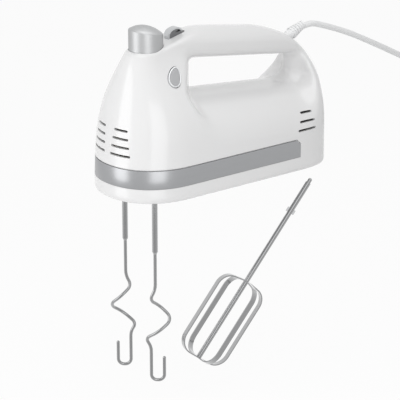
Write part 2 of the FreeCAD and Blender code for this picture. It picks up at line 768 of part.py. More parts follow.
def lug_pair(low, high, gap, direction):
    """The flat bar that makes a shank's two lugs, along a horizontal direction."""
    bar = block((-LUG_HALF - gap / 2, -LUG_THICK / 2 - gap / 2, low),
                (LUG_HALF + gap / 2, LUG_THICK / 2 + gap / 2, high))
    bar.rotate(Vector(), Z_AXIS, math.degrees(math.atan2(direction.y, direction.x)))
    return bar


VIEW_RIGHT = Vector(math.cos(math.radians(38)), -math.sin(math.radians(38)), 0)
hook_direction = {"left": VIEW_RIGHT, "right": -VIEW_RIGHT}
tooth_angles = {"left": math.pi / 2, "right": -math.pi / 2 + math.pi / teeth}
for side, y in spindle_sides.items():
    shaped(f"spindle_{side}", spindle(y, hook_direction[side]))
    shaped(f"worm_gear_{side}", worm_gear(y, tooth_angles[side]))
    shaped(f"spindle_clip_{side}", ring(drive_x, y, UPPER_BUSH + BUSH_LONG + mm("slip_gap"),
                                        CLIP_RADIUS, mm("spindle_radius"), CLIP_THICK))

# ---------------------------------------------------------------------------
# Dough hooks
# ---------------------------------------------------------------------------
def hook_route():
    """The wire's bends below the base: across the hook, out of its plane, and height."""
    throw = mm("hook_throw")
    low = -mm("hook_low")
    return [
        (0, 0, -mm("sleeve_low") + 2),
        (0, 0, -79),
        (-4.6, 0, -88),
        (4, 5.5, -95.5),
        (throw + 1.6, 1, -104.5),
        (3, -5.5, -113),
        (-8, 0, -121),
        (-3.6, 0, -128.5),
        (-3.6, 0, low),
        (6.9, 0, low),
        (6.9, 0, low + 19.5),
    ]


def dough_hook(y, across_hook):
    """A shank with two lugs that narrows to a wire, bent into a spiral with an open end."""
    through = Z_AXIS.cross(across_hook)
    route = [across_hook * u + through * v + Z_AXIS * z for u, v, z in hook_route()]
    wire = tube(rounded_path(route, bend_radii(route)), mm("wire_radius"))
    tip = Part.makeSphere(mm("wire_radius"), route[-1])
    low = -mm("sleeve_low")
    shank = rod(0, 0, low, mm("shank_radius"), mm("shank_top") - low)
    taper = Part.makeCone(mm("wire_radius"), mm("shank_radius"), 2, Vector(0, 0, low - 2))
    lugs = lug_pair(LUG_LOW, LUG_HIGH, 0, across_hook)
    hook = wire.fuse(tip).multiFuse([shank, taper, lugs])
    hook.translate(Vector(drive_x, y, 0))
    return hook


for side, y in spindle_sides.items():
    shaped(f"dough_hook_{side}", dough_hook(y, hook_direction[side]))

# ---------------------------------------------------------------------------
# Motor: the armature turns as one, the stator and its bracket stand still
# ---------------------------------------------------------------------------
WORM_ROOT = 2.85
SHAFT_START = 13.4
shaft_end = bearing_rear + 6
worm_turns = 6.5
worm_start = drive_x - pitch / 4 - 3 * pitch


def worm_thread():
    """One right-hand thread of trapezoid section, swept along its helix."""
    helix = Part.makeHelix(pitch, worm_turns * pitch, WORM_ROOT)
    deep = WORM_ROOT - 0.3
    tip = worm_radius + ADDENDUM
    section = Part.makePolygon([Vector(deep, 0, -0.98), Vector(tip, 0, -0.34), Vector(tip, 0, 0.34),
                                Vector(deep, 0, 0.98), Vector(deep, 0, -0.98)])
    thread = Part.Wire(helix).makePipeShell([section], True, True)
    thread.Placement = Placement(Vector(worm_start, 0, axis_z), ALONG_X)
    return thread


shaft = rod(SHAFT_START, 0, axis_z, mm("shaft_radius"), shaft_end - SHAFT_START, ALONG_X)
worm_core = rod(worm_start - 1.5, 0, axis_z, WORM_ROOT, worm_turns * pitch + 3, ALONG_X)
shaped("worm_shaft", shaft.fuse(worm_core).fuse(worm_thread()))


def on_axis(shape):
    """Turns a shape made along z so that it lies along the motor axis."""
    shape.Placement = Placement(Vector(0, 0, axis_z), ALONG_X)
    return shape


def around(shape, count):
    """Copies of a shape spaced evenly about z."""
    copies = []
    for i in range(count):
        copy = shape.copy()
        copy.rotate(Vector(), Z_AXIS, 360 / count * i)
        copies.append(copy)
    return copies


SLOTS = 12
SLOT_WIDTH = 2.4
SLOT_DEPTH = 4.6
core_start = mm("stator_place")
core_end = stator_rear
core_blank = ring(0, 0, core_start, mm("rotor_radius"), mm("shaft_radius"), mm("stator_length"))
slot_cut = block((mm("rotor_radius") - SLOT_DEPTH, -SLOT_WIDTH / 2, core_start - 1),
                 (mm("rotor_radius") + 1, SLOT_WIDTH / 2, core_end + 1))
shaped("armature_core", on_axis(core_blank.cut(Part.makeCompound(around(slot_cut, SLOTS)))))

END_TURN = 5.5
winding_bar = block((mm("rotor_radius") - SLOT_DEPTH, -SLOT_WIDTH / 2, core_start - 1),
                    (mm("rotor_radius") - 1, SLOT_WIDTH / 2, core_end + 1))
end_rings = [
    ring(0, 0, core_start - END_TURN, mm("rotor_radius") - 1.2, mm("shaft_radius") + 1.2, END_TURN),
    ring(0, 0, core_end, mm("rotor_radius") - 1.2, mm("shaft_radius") + 1.2, END_TURN),
]
shaped("armature_winding", on_axis(fused(end_rings + around(winding_bar, SLOTS))))

# The commutator is a turned drum with a polar pattern of fine grooves.
COMMUTATOR_RADIUS = 8.0
COMMUTATOR_LONG = 10.0
commutator_x = core_end + 7


def plane_of(body, role):
    return next(f for f in body.Origin.OriginFeatures if f.Role == role)


def circle_sketch(body, name, radii, expressions=()):
    """A sketch of circles about the origin, the radii bound where an expression is given."""
    sketch = body.newObject("Sketcher::SketchObject", name)
    sketch.AttachmentSupport = (plane_of(body, "XY_Plane"), [""])
    sketch.MapMode = "FlatFace"
    for i, radius in enumerate(radii):
        sketch.addGeometry(Part.Circle(Vector(), Z_AXIS, radius))
        sketch.addConstraint(Sketcher.Constraint("Coincident", i, 3, -1, 1))
        size = sketch.addConstraint(Sketcher.Constraint("Radius", i, radius))
        if i < len(expressions) and expressions[i]:
            sketch.setExpression(f"Constraints[{size}]", expressions[i])
    return sketch


def box_sketch(body, name, low, high):
    """A sketch of one rectangle, fixed by its corners' distances from the origin."""
    sketch = body.newObject("Sketcher::SketchObject", name)
    sketch.AttachmentSupport = (plane_of(body, "XY_Plane"), [""])
    sketch.MapMode = "FlatFace"
    corners = [Vector(low[0], low[1], 0), Vector(high[0], low[1], 0),
               Vector(high[0], high[1], 0), Vector(low[0], high[1], 0)]
    for i in range(4):
        sketch.addGeometry(Part.LineSegment(corners[i], corners[(i + 1) % 4]))
    for i in range(4):
        sketch.addConstraint(Sketcher.Constraint("Coincident", i, 2, (i + 1) % 4, 1))
    for i, kind in enumerate(("Horizontal", "Vertical", "Horizontal", "Vertical")):
        sketch.addConstraint(Sketcher.Constraint(kind, i))
    for corner, point in ((0, low), (2, high)):
        sketch.addConstraint(Sketcher.Constraint("DistanceX", -1, 1, corner, 1, point[0]))
        sketch.addConstraint(Sketcher.Constraint("DistanceY", -1, 1, corner, 1, point[1]))
    return sketch


def pad(body, sketch, length, name="Pad"):
    feature = body.newObject("PartDesign::Pad", name)
    feature.Profile = sketch
    if isinstance(length, str):
        feature.setExpression("Length", length)
    else:
        feature.Length = length
    return feature


commutator = doc.addObject("PartDesign::Body", "commutator")
drum = circle_sketch(commutator, "CommutatorDrum", [COMMUTATOR_RADIUS, mm("shaft_radius")],
                     (None, "Sizes.shaft_radius"))
pad(commutator, drum, COMMUTATOR_LONG, "CommutatorPad")
doc.recompute()
groove = box_sketch(commutator, "CommutatorGroove", (COMMUTATOR_RADIUS - 1, -0.2), (COMMUTATOR_RADIUS + 1, 0.2))
pocket = commutator.newObject("PartDesign::Pocket", "CommutatorPocket")
pocket.Profile = groove
pocket.Length = COMMUTATOR_LONG
pocket.Reversed = True
doc.recompute()
pattern = commutator.newObject("PartDesign::PolarPattern", "CommutatorPattern")
pattern.Originals = [pocket]
pattern.Axis = (groove, ["N_Axis"])
pattern.Angle = 360
pattern.Occurrences = 24
commutator.Tip = pattern
doc.recompute()
plain_drum = math.pi * (COMMUTATOR_RADIUS**2 - mm("shaft_radius") ** 2) * COMMUTATOR_LONG
assert commutator.Shape.Volume < plain_drum - 24, "the commutator's grooves cut nothing"
commutator.Placement = Placement(Vector(commutator_x, 0, axis_z), ALONG_X)
keep(commutator, "commutator")

FAN_RADIUS = 20.0
FAN_BLADES = 11
fan_x = plate_rear + 6
fan_hub = ring(0, 0, fan_x, 6, mm("shaft_radius"), 10)
fan_disc = ring(0, 0, fan_x, FAN_RADIUS, mm("shaft_radius"), 1.5)
fan_blade = block((5, -0.6, fan_x + 1), (FAN_RADIUS, 0.6, fan_x + 10))
fan_blade.rotate(Vector(FAN_RADIUS / 2, 0, 0), Z_AXIS, 18)
fan_blade = fan_blade.common(rod(0, 0, 0, FAN_RADIUS, 200))
shaped("cooling_fan", on_axis(fused([fan_hub, fan_disc] + around(fan_blade, FAN_BLADES))))

# The stator is a square stack of laminations with a round bore and four coil windows.
POCKET_Y = (9.0, 16.5)
POCKET_Z = (10.0, 19.0)
COIL_Y = 15.9
COIL_Z = (13.6, 18.5)
COIL_END = 4.6
BOLT_Y = 18.6
BOLT_RADIUS = 1.5
stator = block((core_start, -STATOR_HALF, axis_z - mm("stator_size") / 2),
               (core_end, STATOR_HALF, axis_z + mm("stator_size") / 2))
long_edges = [e for e in stator.Edges if abs(e.BoundBox.XLength - mm("stator_length")) < 1e-6]
stator = stator.makeFillet(6, long_edges)
stator = stator.cut(rod(core_start - 1, 0, axis_z, mm("rotor_radius") + mm("rotor_gap"),
                        mm("stator_length") + 2, ALONG_X))
for side_y in (-1, 1):
    for side_z in (-1, 1):
        ys = sorted(side_y * v for v in POCKET_Y)
        zs = sorted(axis_z + side_z * v for v in POCKET_Z)
        stator = stator.cut(block((core_start - 1, ys[0], zs[0]), (core_end + 1, ys[1], zs[1])))
bolt_holes = [rod(core_start - 1, y, axis_z, BOLT_RADIUS, 60, ALONG_X) for y in (-BOLT_Y, BOLT_Y)]
shaped("stator_core", stator.cut(Part.makeCompound(bolt_holes)))


def field_coil(side_z):
    """A closed coil that passes through two windows and crosses in front of and behind the pole."""
    zs = sorted(axis_z + side_z * v for v in COIL_Z)
    outside = block((core_start - COIL_END, -COIL_Y, zs[0]), (core_end + COIL_END, COIL_Y, zs[1]))
    inside = block((core_start - 0.3, -POCKET_Y[0] - 0.3, zs[0] - 1), (core_end + 0.3, POCKET_Y[0] + 0.3, zs[1] + 1))
    return outside.cut(inside)


shaped("field_coils", Part.makeCompound([field_coil(1), field_coil(-1)]))

BRACKET_Y = (16.0, 21.5)
BRACKET_HALF = 6.0
HOLDER_HALF = 3.5
BRUSH_HALF = 2.4
BRUSH_END = 14.0
brush_x = commutator_x + COMMUTATOR_LONG / 2
bracket_x = bearing_rear - BRACKET / 2
crossbar = block((bracket_x, -BRACKET_Y[1], axis_z - 9), (bracket_x + BRACKET, BRACKET_Y[1], axis_z + 9))
legs = [
    block((core_end, min(s * BRACKET_Y[0], s * BRACKET_Y[1]), axis_z - BRACKET_HALF),
          (bracket_x + 1, max(s * BRACKET_Y[0], s * BRACKET_Y[1]), axis_z + BRACKET_HALF))
    for s in (-1, 1)
]
bracket = fused([crossbar] + legs).cut(rod(bracket_x - 1, 0, axis_z, bush_bore + 3.5, 8, ALONG_X))
bracket = bracket.cut(Part.makeCompound([rod(core_end - 1, y, axis_z, BOLT_RADIUS, 60, ALONG_X)
                                         for y in (-BOLT_Y, BOLT_Y)]))
shaped("rear_bracket", bracket)
shaped("motor_bolts", Part.makeCompound([
    rod(core_start + 2, y, axis_z, BOLT_RADIUS, bracket_x + BRACKET - core_start - 2, ALONG_X)
    .fuse(rod(bracket_x + BRACKET, y, axis_z, 2.8, 2.2, ALONG_X))
    for y in (-BOLT_Y, BOLT_Y)
]))
shaped("front_bush", shaft_ring(POST_FRONT, POST_THICK, bush_bore + BUSH_WALL))
shaped("middle_bearing", shaft_ring(wall_x - 0.5, WALL_THICK + 1, bush_bore + 3.5))
shaped("rear_bearing", shaft_ring(bracket_x - 0.5, BRACKET + 1, bush_bore + 3.5))

holders = []
brushes = []
springs = []
for side_y in (-1, 1):
    low, high = sorted((side_y * (COMMUTATOR_RADIUS + 1), side_y * BRACKET_Y[0]))
    body = block((brush_x - HOLDER_HALF, low, axis_z - HOLDER_HALF), (brush_x + HOLDER_HALF, high, axis_z + HOLDER_HALF))
    hollow = block((brush_x - BRUSH_HALF, low - 1, axis_z - BRUSH_HALF),
                   (brush_x + BRUSH_HALF, high + 1, axis_z + BRUSH_HALF))
    holders.append(body.cut(hollow))
    low, high = sorted((side_y * (COMMUTATOR_RADIUS + 0.3), side_y * (BRUSH_END - 1)))
    brushes.append(block((brush_x - BRUSH_HALF, low, axis_z - BRUSH_HALF),
                         (brush_x + BRUSH_HALF, high, axis_z + BRUSH_HALF)))
    low, high = sorted((side_y * (BRUSH_END - 1), side_y * BRACKET_Y[0]))
    turns = [Part.makeTorus(1.6, 0.3, Vector(brush_x, low + 0.3 + 0.8 * i, axis_z), Y_AXIS) for i in range(4)]
    core = rod(brush_x, low, axis_z, 1.6, high - low, ALONG_Y).cut(rod(brush_x, low - 1, axis_z, 1.35, 6, ALONG_Y))
    springs.append(fused([core] + turns))
shaped("brush_holders", Part.makeCompound(holders))
shaped("carbon_brushes", Part.makeCompound(brushes))
shaped("brush_springs", Part.makeCompound(springs))

# ---------------------------------------------------------------------------
# Eject button: a cup on the nose, with a plunger that pushes both hooks out
# ---------------------------------------------------------------------------
CUP_WALL = 1.6
CUP_LOW = 103.0
CUP_FLANGE = 1.4
SEAT_HIGH = 124.0          # top of the plunger and its spring
FORK_LOW = 62.0
FORK_THICK = 3.0
FORK_HALF = 24.0
PIN_RADIUS = 2.0
SPRING_RADIUS = 7.0
SPRING_WIRE = 0.6
SPRING_TURNS = 9
eject_x = mm("eject_place")


def under_cap(radius, low, lower_by, dish=0):
    """A cylinder on the button axis, cut off by the sloping top plane and perhaps dished."""
    solid = rod(eject_x, 0, low, radius, 60)
    lid = Part.makeBox(FAR, FAR, FAR, Vector(-FAR / 2, -FAR / 2, 0))
    slope = Rotation(Y_AXIS, mm("eject_slope"))
    lid.Placement = Placement(Vector(eject_x, 0, mm("eject_top") - lower_by), slope)
    solid = solid.cut(lid)
    if dish:
        bowl = 62.0
        centre = slope.multVec(Vector(0, 0, bowl - dish)) + Vector(eject_x, 0, mm("eject_top"))
        solid = solid.cut(Part.makeSphere(bowl, centre))
    return solid


cup = under_cap(mm("eject_radius"), CUP_LOW, 0, 1.0)
rim = [e for e in cup.Edges if e.BoundBox.ZMax > mm("eject_top") + 2 and e.Length > 70]
cup = cup.makeFillet(0.7, rim[:1])
cup = cup.cut(under_cap(mm("eject_radius") - CUP_WALL, CUP_LOW - 1, 2.6))
flange = ring(eject_x, 0, CUP_LOW, mm("eject_radius") + 1.3, mm("eject_radius") - CUP_WALL, CUP_FLANGE)
spring_seat = under_cap(SPRING_RADIUS + 1.4, SEAT_HIGH, 2)
shaped("eject_button", fused([cup, flange, spring_seat]))
fork = block((drive_x - 4, -FORK_HALF, FORK_LOW), (eject_x + STEM_RADIUS, FORK_HALF, FORK_LOW + FORK_THICK))
pins = [rod(drive_x, y, mm("shank_top") + 0.3, PIN_RADIUS, FORK_LOW - mm("shank_top"))
        for y in spindle_sides.values()]
stem = rod(eject_x, 0, FORK_LOW, STEM_RADIUS, SEAT_HIGH - FORK_LOW)
shaped("eject_plunger", fused([fork, stem] + pins))
spring_long = SEAT_HIGH - SHELF_HIGH
coil = Part.makeHelix((spring_long - 2 * SPRING_WIRE) / SPRING_TURNS, spring_long - 2 * SPRING_WIRE, SPRING_RADIUS)
section = Part.Wire(Part.makeCircle(SPRING_WIRE, Vector(SPRING_RADIUS, 0, 0), Y_AXIS))
spring = Part.Wire(coil).makePipeShell([section], True, True)
spring.translate(Vector(eject_x, 0, SHELF_HIGH + SPRING_WIRE))
spring_ends = [Part.makeTorus(SPRING_RADIUS, SPRING_WIRE, Vector(eject_x, 0, z))
               for z in (SHELF_HIGH + SPRING_WIRE, SEAT_HIGH - SPRING_WIRE)]
shaped("eject_spring", spring.multiFuse(spring_ends))

# ---------------------------------------------------------------------------
# Speed slider on the deck and its switch
# ---------------------------------------------------------------------------
RIM_THICK = 1.3
SLIDER_ARCH = 5.2          # rounding of the knob's two long top edges


def deck_piece(solid):
    """Moves a shape into the slider's place, with x up the deck and z out of it."""
    solid.Placement = on_deck(mm("slider_place")).multiply(solid.Placement)
    return solid


def arch(inset, start, end):
    """A bar with an arched section standing on the deck."""
    half = SLIDER_WIDTH / 2 - inset
    bar = block((start, -half, mm("slip_gap")), (end, half, SLIDER_LIFT - inset))
    crest = [e for e in bar.Edges if abs(e.BoundBox.XLength - (end - start)) < 1e-6
             and e.BoundBox.ZMin > SLIDER_LIFT - inset - 0.1]
    return bar.makeFillet(SLIDER_ARCH - inset / 2, crest)


half_long = SLIDER_LENGTH / 2
knob = arch(RIM_THICK, -half_long + 0.7, half_long - 0.7)
notch = block((-half_long, -0.6, 2), (-half_long + 1.5, 0.6, SLIDER_LIFT - 2.6))
slider_stem = block((-2.5, -SLIDER_STEM_WIDTH / 2, -4), (2.5, SLIDER_STEM_WIDTH / 2, 1))
carrier = block((-5, -5, SWITCH_TOP + 0.2), (5, 5, -2.8))
shaped("speed_slider", deck_piece(fused([knob.cut(notch), slider_stem, carrier])))
rim_arch = arch(0, -half_long, half_long).cut(arch(RIM_THICK, -half_long - 1, half_long + 1))
shaped("slider_rim", deck_piece(rim_arch))
low, high = SWITCH_REACH
speed_switch = doc.addObject("PartDesign::Body", "speed_switch")
case = box_sketch(speed_switch, "SpeedSwitchCase", (low, -SWITCH_HALF), (high, SWITCH_HALF))
pad(speed_switch, case, SWITCH_HEIGHT, "SpeedSwitchPad")
doc.recompute()
speed_switch.Placement = on_deck(mm("slider_place"), SWITCH_TOP - SWITCH_HEIGHT)
keep(speed_switch, "speed_switch")

# ---------------------------------------------------------------------------
# Turbo button on the left side and its switch
# ---------------------------------------------------------------------------
TURBO_PROUD = 1.3
TURBO_DEEP = -5.6
turbo_cap = drop_solid(0, TURBO_DEEP, TURBO_PROUD)
turbo_flange = drop_solid(1.1, TURBO_DEEP, TURBO_DEEP + 1)
turbo_stem = on_turbo(rod(0, 0, TURBO_SWITCH[1] + TURBO_TRAVEL + 0.1, 2, 2))
shaped("turbo_button", fused([turbo_cap, turbo_flange, turbo_stem]))
shaped("turbo_switch", on_turbo(block((-5, -3.2, TURBO_SWITCH[0]), (5, 3.2, TURBO_SWITCH[1]))))

# ---------------------------------------------------------------------------
# Mains lead: strain relief, clamp, free run, coil of spare length and plug
# ---------------------------------------------------------------------------
lead = mm("lead_diameter") / 2
COIL_PITCH = mm("lead_diameter") + 0.3
COIL_TURNS = 5
COIL_ENTRY = Vector(345, 0, 5)
towards = Vector(-math.sin(math.radians(38)), -math.cos(math.radians(38)), 0)
coil_axis = VIEW_RIGHT
coil_turn = Rotation(towards, -Z_AXIS, coil_axis, "ZXY")
rise = math.atan(COIL_PITCH / (2 * math.pi * mm("coil_radius")))
downward = -Z_AXIS * math.cos(rise) + coil_axis * math.sin(rise)
coil_centre = COIL_ENTRY - towards * mm("coil_radius")
clamp_line = CLAMP_SEAT + lead
lead_route = [
    Vector(150, 0, clamp_line),
    Vector(179, 0, clamp_line),
    Vector(203, 0, 109.2),
    Vector(224, 0, 102.6),
    Vector(246, 0, 94.3),
    Vector(270, 0, 83.2),
    Vector(311, 0, 62.4),
    COIL_ENTRY - downward * 40,
    COIL_ENTRY,
]
lead_radii = bend_radii(lead_route)
print("lead radii", [round(radius, 1) for radius in lead_radii])
lead_path = rounded_path(lead_route, lead_radii)
power_cord = tube(lead_path, lead)
swept = lead_path.Length * math.pi * lead ** 2
print("power_cord volume", round(power_cord.Volume, 1), "section times length", round(swept, 1))
if abs(power_cord.Volume - swept) > 0.01 * swept:
    raise RuntimeError("the power cord's volume is not its section times its length")
shaped("power_cord", power_cord)

turns = Part.makeHelix(COIL_PITCH, COIL_PITCH * COIL_TURNS, mm("coil_radius"))
start = Vector(mm("coil_radius"), 0, 0)
along = Vector(0, math.cos(rise), math.sin(rise))
section = Part.Wire(Part.makeCircle(lead, start, along))
cord_coil = Part.Wire(turns).makePipeShell([section], True, True)
cord_coil.Placement = Placement(coil_centre, coil_turn)
shaped("cord_coil", cord_coil)
coil_exit = COIL_ENTRY + coil_axis * COIL_PITCH * COIL_TURNS
TAIL = 66.0
tail_turn = Rotation(Z_AXIS, downward)
shaped("cord_tail", rod(*coil_exit, lead, TAIL, tail_turn))

bundle = COIL_PITCH * (COIL_TURNS - 1) + 2 * lead
tie_low = COIL_PITCH / 4 - lead
tie_outer = block((-3, mm("coil_radius") - lead - 1.6, tie_low - 1.3),
                  (3, mm("coil_radius") + lead + 1.3, tie_low + bundle + 1.3))
tie_inner = block((-4, mm("coil_radius") - lead - 0.3, tie_low - 0.1),
                  (4, mm("coil_radius") + lead, tie_low + bundle + 0.1))
tie = tie_outer.cut(tie_inner)
tie.Placement = Placement(coil_centre, coil_turn)
shaped("cord_tie", tie)

PLUG_LONG = 36.0
PLUG_WIDE = 26.0
PLUG_THICK = 13.7
PIN_APART = 18.6
PIN_LONG = 19.0
PLUG_PIN = 2.0


def plug_section(z, wide, thick, corner):
    w, t = wide / 2, thick / 2
    corners = [Vector(-w, -t, z), Vector(w, -t, z), Vector(w, t, z), Vector(-w, t, z)]
    return rounded_loop(corners, [corner] * 4)


plug_place = Placement(coil_exit + downward * TAIL, tail_turn)
plug_body = Part.makeLoft([
    plug_section(0, 9, 9, 4.2),
    plug_section(9, 11, 9.5, 4.2),
    plug_section(20, PLUG_WIDE - 3, PLUG_THICK - 1, 5),
    plug_section(PLUG_LONG, PLUG_WIDE, PLUG_THICK, 5),
], True, True)
plug_body.Placement = plug_place
shaped("plug_body", plug_body)
plug_pins = []
for side_x in (-1, 1):
    pin = Part.makeCylinder(PLUG_PIN, PIN_LONG - 1, Vector(side_x * PIN_APART / 2, 0, PLUG_LONG))
    nose = Part.makeCone(PLUG_PIN, PLUG_PIN - 0.8, 1, Vector(side_x * PIN_APART / 2, 0, PLUG_LONG + PIN_LONG - 1))
    plug_pins.append(pin.fuse(nose))
plug_pins = Part.makeCompound(plug_pins)
plug_pins.Placement = plug_place
shaped("plug_pins", plug_pins)

RELIEF_LONG = 23.6
RELIEF_RIBS = 6
rib_step = 2.5
ribbed = [Part.makeCone(4.0, 2.6 + 0.3, RELIEF_LONG - 8, Vector(0, 0, 8))]
for i in range(RELIEF_RIBS):
    radius = 5.0 - 0.34 * i
    ribbed.append(Part.makeCylinder(radius, 1.5, Vector(0, 0, 9.6 + rib_step * i)))
neck = Part.makeCylinder(RELIEF_NECK, 13)
stop = Part.makeCylinder(RELIEF_NECK + 0.8, 2, Vector(0, 0, -2))
relief = fused(ribbed)
relief.Placement = Placement(relief_root, RELIEF_TURN)
neck = neck.fuse(stop)
neck.Placement = Placement(relief_root, RELIEF_TURN)
relief = relief.cut(outer_form).fuse(neck).cut(power_cord)
relief = relief.cut(left_half).cut(right_half)
shaped("strain_relief", max(relief.Solids, key=lambda solid: solid.Volume))

clamp = block((160, -7.2, CLAMP_SEAT + 1.3), (166, 7.2, CLAMP_HIGH)).cut(clamp_bore)
clamp = clamp.cut(rod(150, 0, clamp_line, lead, 30, ALONG_X))
shaped("cord_clamp", clamp)
shaped("clamp_screws", Part.makeCompound([
    rod(x, y, CLAMP_SEAT - 4.5, 1.1, CLAMP_HIGH - CLAMP_SEAT + 4.5).fuse(rod(x, y, CLAMP_HIGH, 2, 1.4))
    for x, y in CLAMP_SCREWS
]))

# ---------------------------------------------------------------------------
# Electrical parts on the rear shelf, and the wires between them
# ---------------------------------------------------------------------------
WIRE = 0.9
capacitor = block((159, -9, REAR_SHELF), (167, 9, REAR_SHELF + 14))
shaped("suppression_capacitor", capacitor.makeFillet(1.2, capacitor.Edges[:4]))
terminal = block((171, -10, REAR_SHELF), (181, 10, REAR_SHELF + 9))
heads = [rod(176, y, REAR_SHELF + 8, 1.8, 4) for y in (-6, 0, 6)]
shaped("terminal_block", terminal.cut(Part.makeCompound(heads)))
block_top = REAR_SHELF + 9


def wires(name, routes):
    shaped(name, Part.makeCompound([tube(rounded_path(route, bend_radii(route)), WIRE) for route in routes]))


holder_top = mm("axis_height") + HOLDER_HALF
wires("motor_leads", [
    [Vector(brush_x, y, holder_top), Vector(brush_x, y, holder_top + 9), Vector(156, y * 0.8, holder_top + 9),
     Vector(173.5, y * 0.5, 42), Vector(173.5, y * 0.5, block_top)]
    for y in (-12.5, 12.5)
])
switch_back = on_deck(mm("slider_place") + SWITCH_REACH[1], SWITCH_TOP - SWITCH_HEIGHT / 2).Base
wires("handle_wires", [
    [switch_back + Vector(0, y, 0), Vector(95, y, 116.2), Vector(118, y, 111), Vector(136, y * 0.5, 102),
     Vector(144, y * 0.3, clamp_line), Vector(150, y * 0.3, clamp_line)]
    for y in (-4.5, 4.5)
])

# ---------------------------------------------------------------------------
# Loose wire beater
# ---------------------------------------------------------------------------
BEATER_TIP = Vector(168, -50, -6)
STRIP_WIDE = 4.4
HEAD_TURN = 32.0           # turns the head about its shaft
STRIP_THICK = 1.0
BEATER_LUGS = 31.0         # below the tip
BEATER_LUG_UP = 2.0        # half the height of a lug
SHAFT_STEP = 0.2           # the shaft is this much thinner below its lugs
NECK_LONG = 4.0
beater_up = Vector(0.593, -0.105, 0.798).normalize()
beater_side = Vector(0.558, -0.662, -0.501)
beater_turn = Rotation(beater_side, Vector(), beater_up, "ZXY")
beater_place = Placement(BEATER_TIP - beater_up * mm("beater_length"), beater_turn)


def head_loop(width, inset):
    """One closed strip of the beater's head: rounded at the bottom, drawn in at the top."""
    half = width / 2 - inset
    head = mm("beater_head") - inset
    corners = [Vector(-half, 0, inset), Vector(half, 0, inset), Vector(half, 0, head - 3),
               Vector(3, 0, head), Vector(-3, 0, head), Vector(-half, 0, head - 3)]
    return rounded_loop(corners, [radius - inset for radius in (13, 13, 12, 4, 4, 12)])


def strip_loop(width, turn):
    outside = Part.Face(head_loop(width, 0)).extrude(Vector(0, STRIP_WIDE, 0))
    inside = Part.Face(head_loop(width, STRIP_THICK)).extrude(Vector(0, STRIP_WIDE, 0))
    loop = outside.cut(inside)
    loop.translate(Vector(0, -STRIP_WIDE / 2, 0))
    loop.rotate(Vector(), Z_AXIS, turn)
    return loop


lug_at = mm("beater_length") - BEATER_LUGS
thin = mm("shank_radius") - SHAFT_STEP
shaft_low = rod(0, 0, 0, thin, lug_at + BEATER_LUG_UP)
shaft_high = rod(0, 0, lug_at + BEATER_LUG_UP, mm("shank_radius"), BEATER_LUGS - BEATER_LUG_UP - NECK_LONG)
beater_tip = rod(0, 0, mm("beater_length") - NECK_LONG, 1.7, NECK_LONG - 1)
tip_dome = Part.makeCone(1.7, 0.9, 1, Vector(0, 0, mm("beater_length") - 1))
beater_lugs = lug_pair(lug_at - BEATER_LUG_UP, lug_at + BEATER_LUG_UP, 0, Vector(1, 0, 0))
beater_shaft = fused([shaft_low, shaft_high, beater_tip, tip_dome, beater_lugs])
loops = strip_loop(mm("beater_width"), HEAD_TURN).fuse(strip_loop(mm("beater_width") - 1, HEAD_TURN + 90))
loops = loops.cut(rod(0, 0, -1, thin, mm("beater_length")))
for name, shape in (("beater_shaft", beater_shaft), ("beater_loops", loops)):
    shape.Placement = beater_place
    shaped(name, shape)

# ---------------------------------------------------------------------------
# Check and write every sub-part
# ---------------------------------------------------------------------------
doc.recompute()
for item in doc.Objects:
    if "Invalid" in item.State or "Error" in item.State:
        raise RuntimeError(f"{item.Name} did not compute")
bad = [item.Label for item in finished if item.Shape.isNull() or not item.Shape.isValid()]
if bad:
    raise RuntimeError("not valid: " + ", ".join(bad))
os.makedirs("parts", exist_ok=True)
for item in finished:
    item.Shape.exportStep(f"parts/{item.Label}.step")
print(len(finished), "sub-parts written")
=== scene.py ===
# %% [markdown]
# # A hand mixer, ready for the studio
# The mixer is a glossy white body with a closed loop handle, a grey metallic trim band, a silver
# eject button and two dough hooks; a wire beater lies beside it and a white lead leaves the handle.
# The engineering model is loaded first and stays fixed. Everything modelled below sits on it.

# %% Load the fixed frame
import math
import json

import bpy
import bmesh
import numpy as np
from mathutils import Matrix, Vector


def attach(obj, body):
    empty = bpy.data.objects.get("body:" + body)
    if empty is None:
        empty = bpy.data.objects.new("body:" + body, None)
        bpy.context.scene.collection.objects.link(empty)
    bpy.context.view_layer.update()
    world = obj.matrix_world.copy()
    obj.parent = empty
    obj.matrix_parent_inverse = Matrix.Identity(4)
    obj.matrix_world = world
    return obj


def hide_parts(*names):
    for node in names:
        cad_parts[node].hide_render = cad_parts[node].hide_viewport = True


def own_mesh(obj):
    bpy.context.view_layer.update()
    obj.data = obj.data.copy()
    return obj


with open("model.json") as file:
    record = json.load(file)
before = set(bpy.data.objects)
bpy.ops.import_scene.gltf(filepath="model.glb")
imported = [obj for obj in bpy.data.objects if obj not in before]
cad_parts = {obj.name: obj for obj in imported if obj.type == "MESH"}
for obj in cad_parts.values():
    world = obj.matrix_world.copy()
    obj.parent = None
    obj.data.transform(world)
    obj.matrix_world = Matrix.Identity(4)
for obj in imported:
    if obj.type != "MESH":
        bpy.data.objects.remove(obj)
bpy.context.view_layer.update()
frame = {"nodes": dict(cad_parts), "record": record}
nodes = frame["nodes"]

# %% [markdown]
# The drawing is in millimetres on a bench: x from the nose tip to the heel, z up from the base.
# The scene is in metres about the middle of the handle grip, so one line turns one into the other.

# %% From the bench to the scene
GRIP = np.array([122.0, 0.0, 107.0])


def from_bench(points):
    """Bench millimetres to scene metres: subtract the grip's centre and divide by a thousand."""
    return (np.asarray(points, dtype=float) - GRIP) / 1000


# %% [markdown]
# ## Camera
# The mixer is seen from its left, a little from above, through a long lens, so that parallel
# edges stay nearly parallel. The camera is made first because it decides what shows.

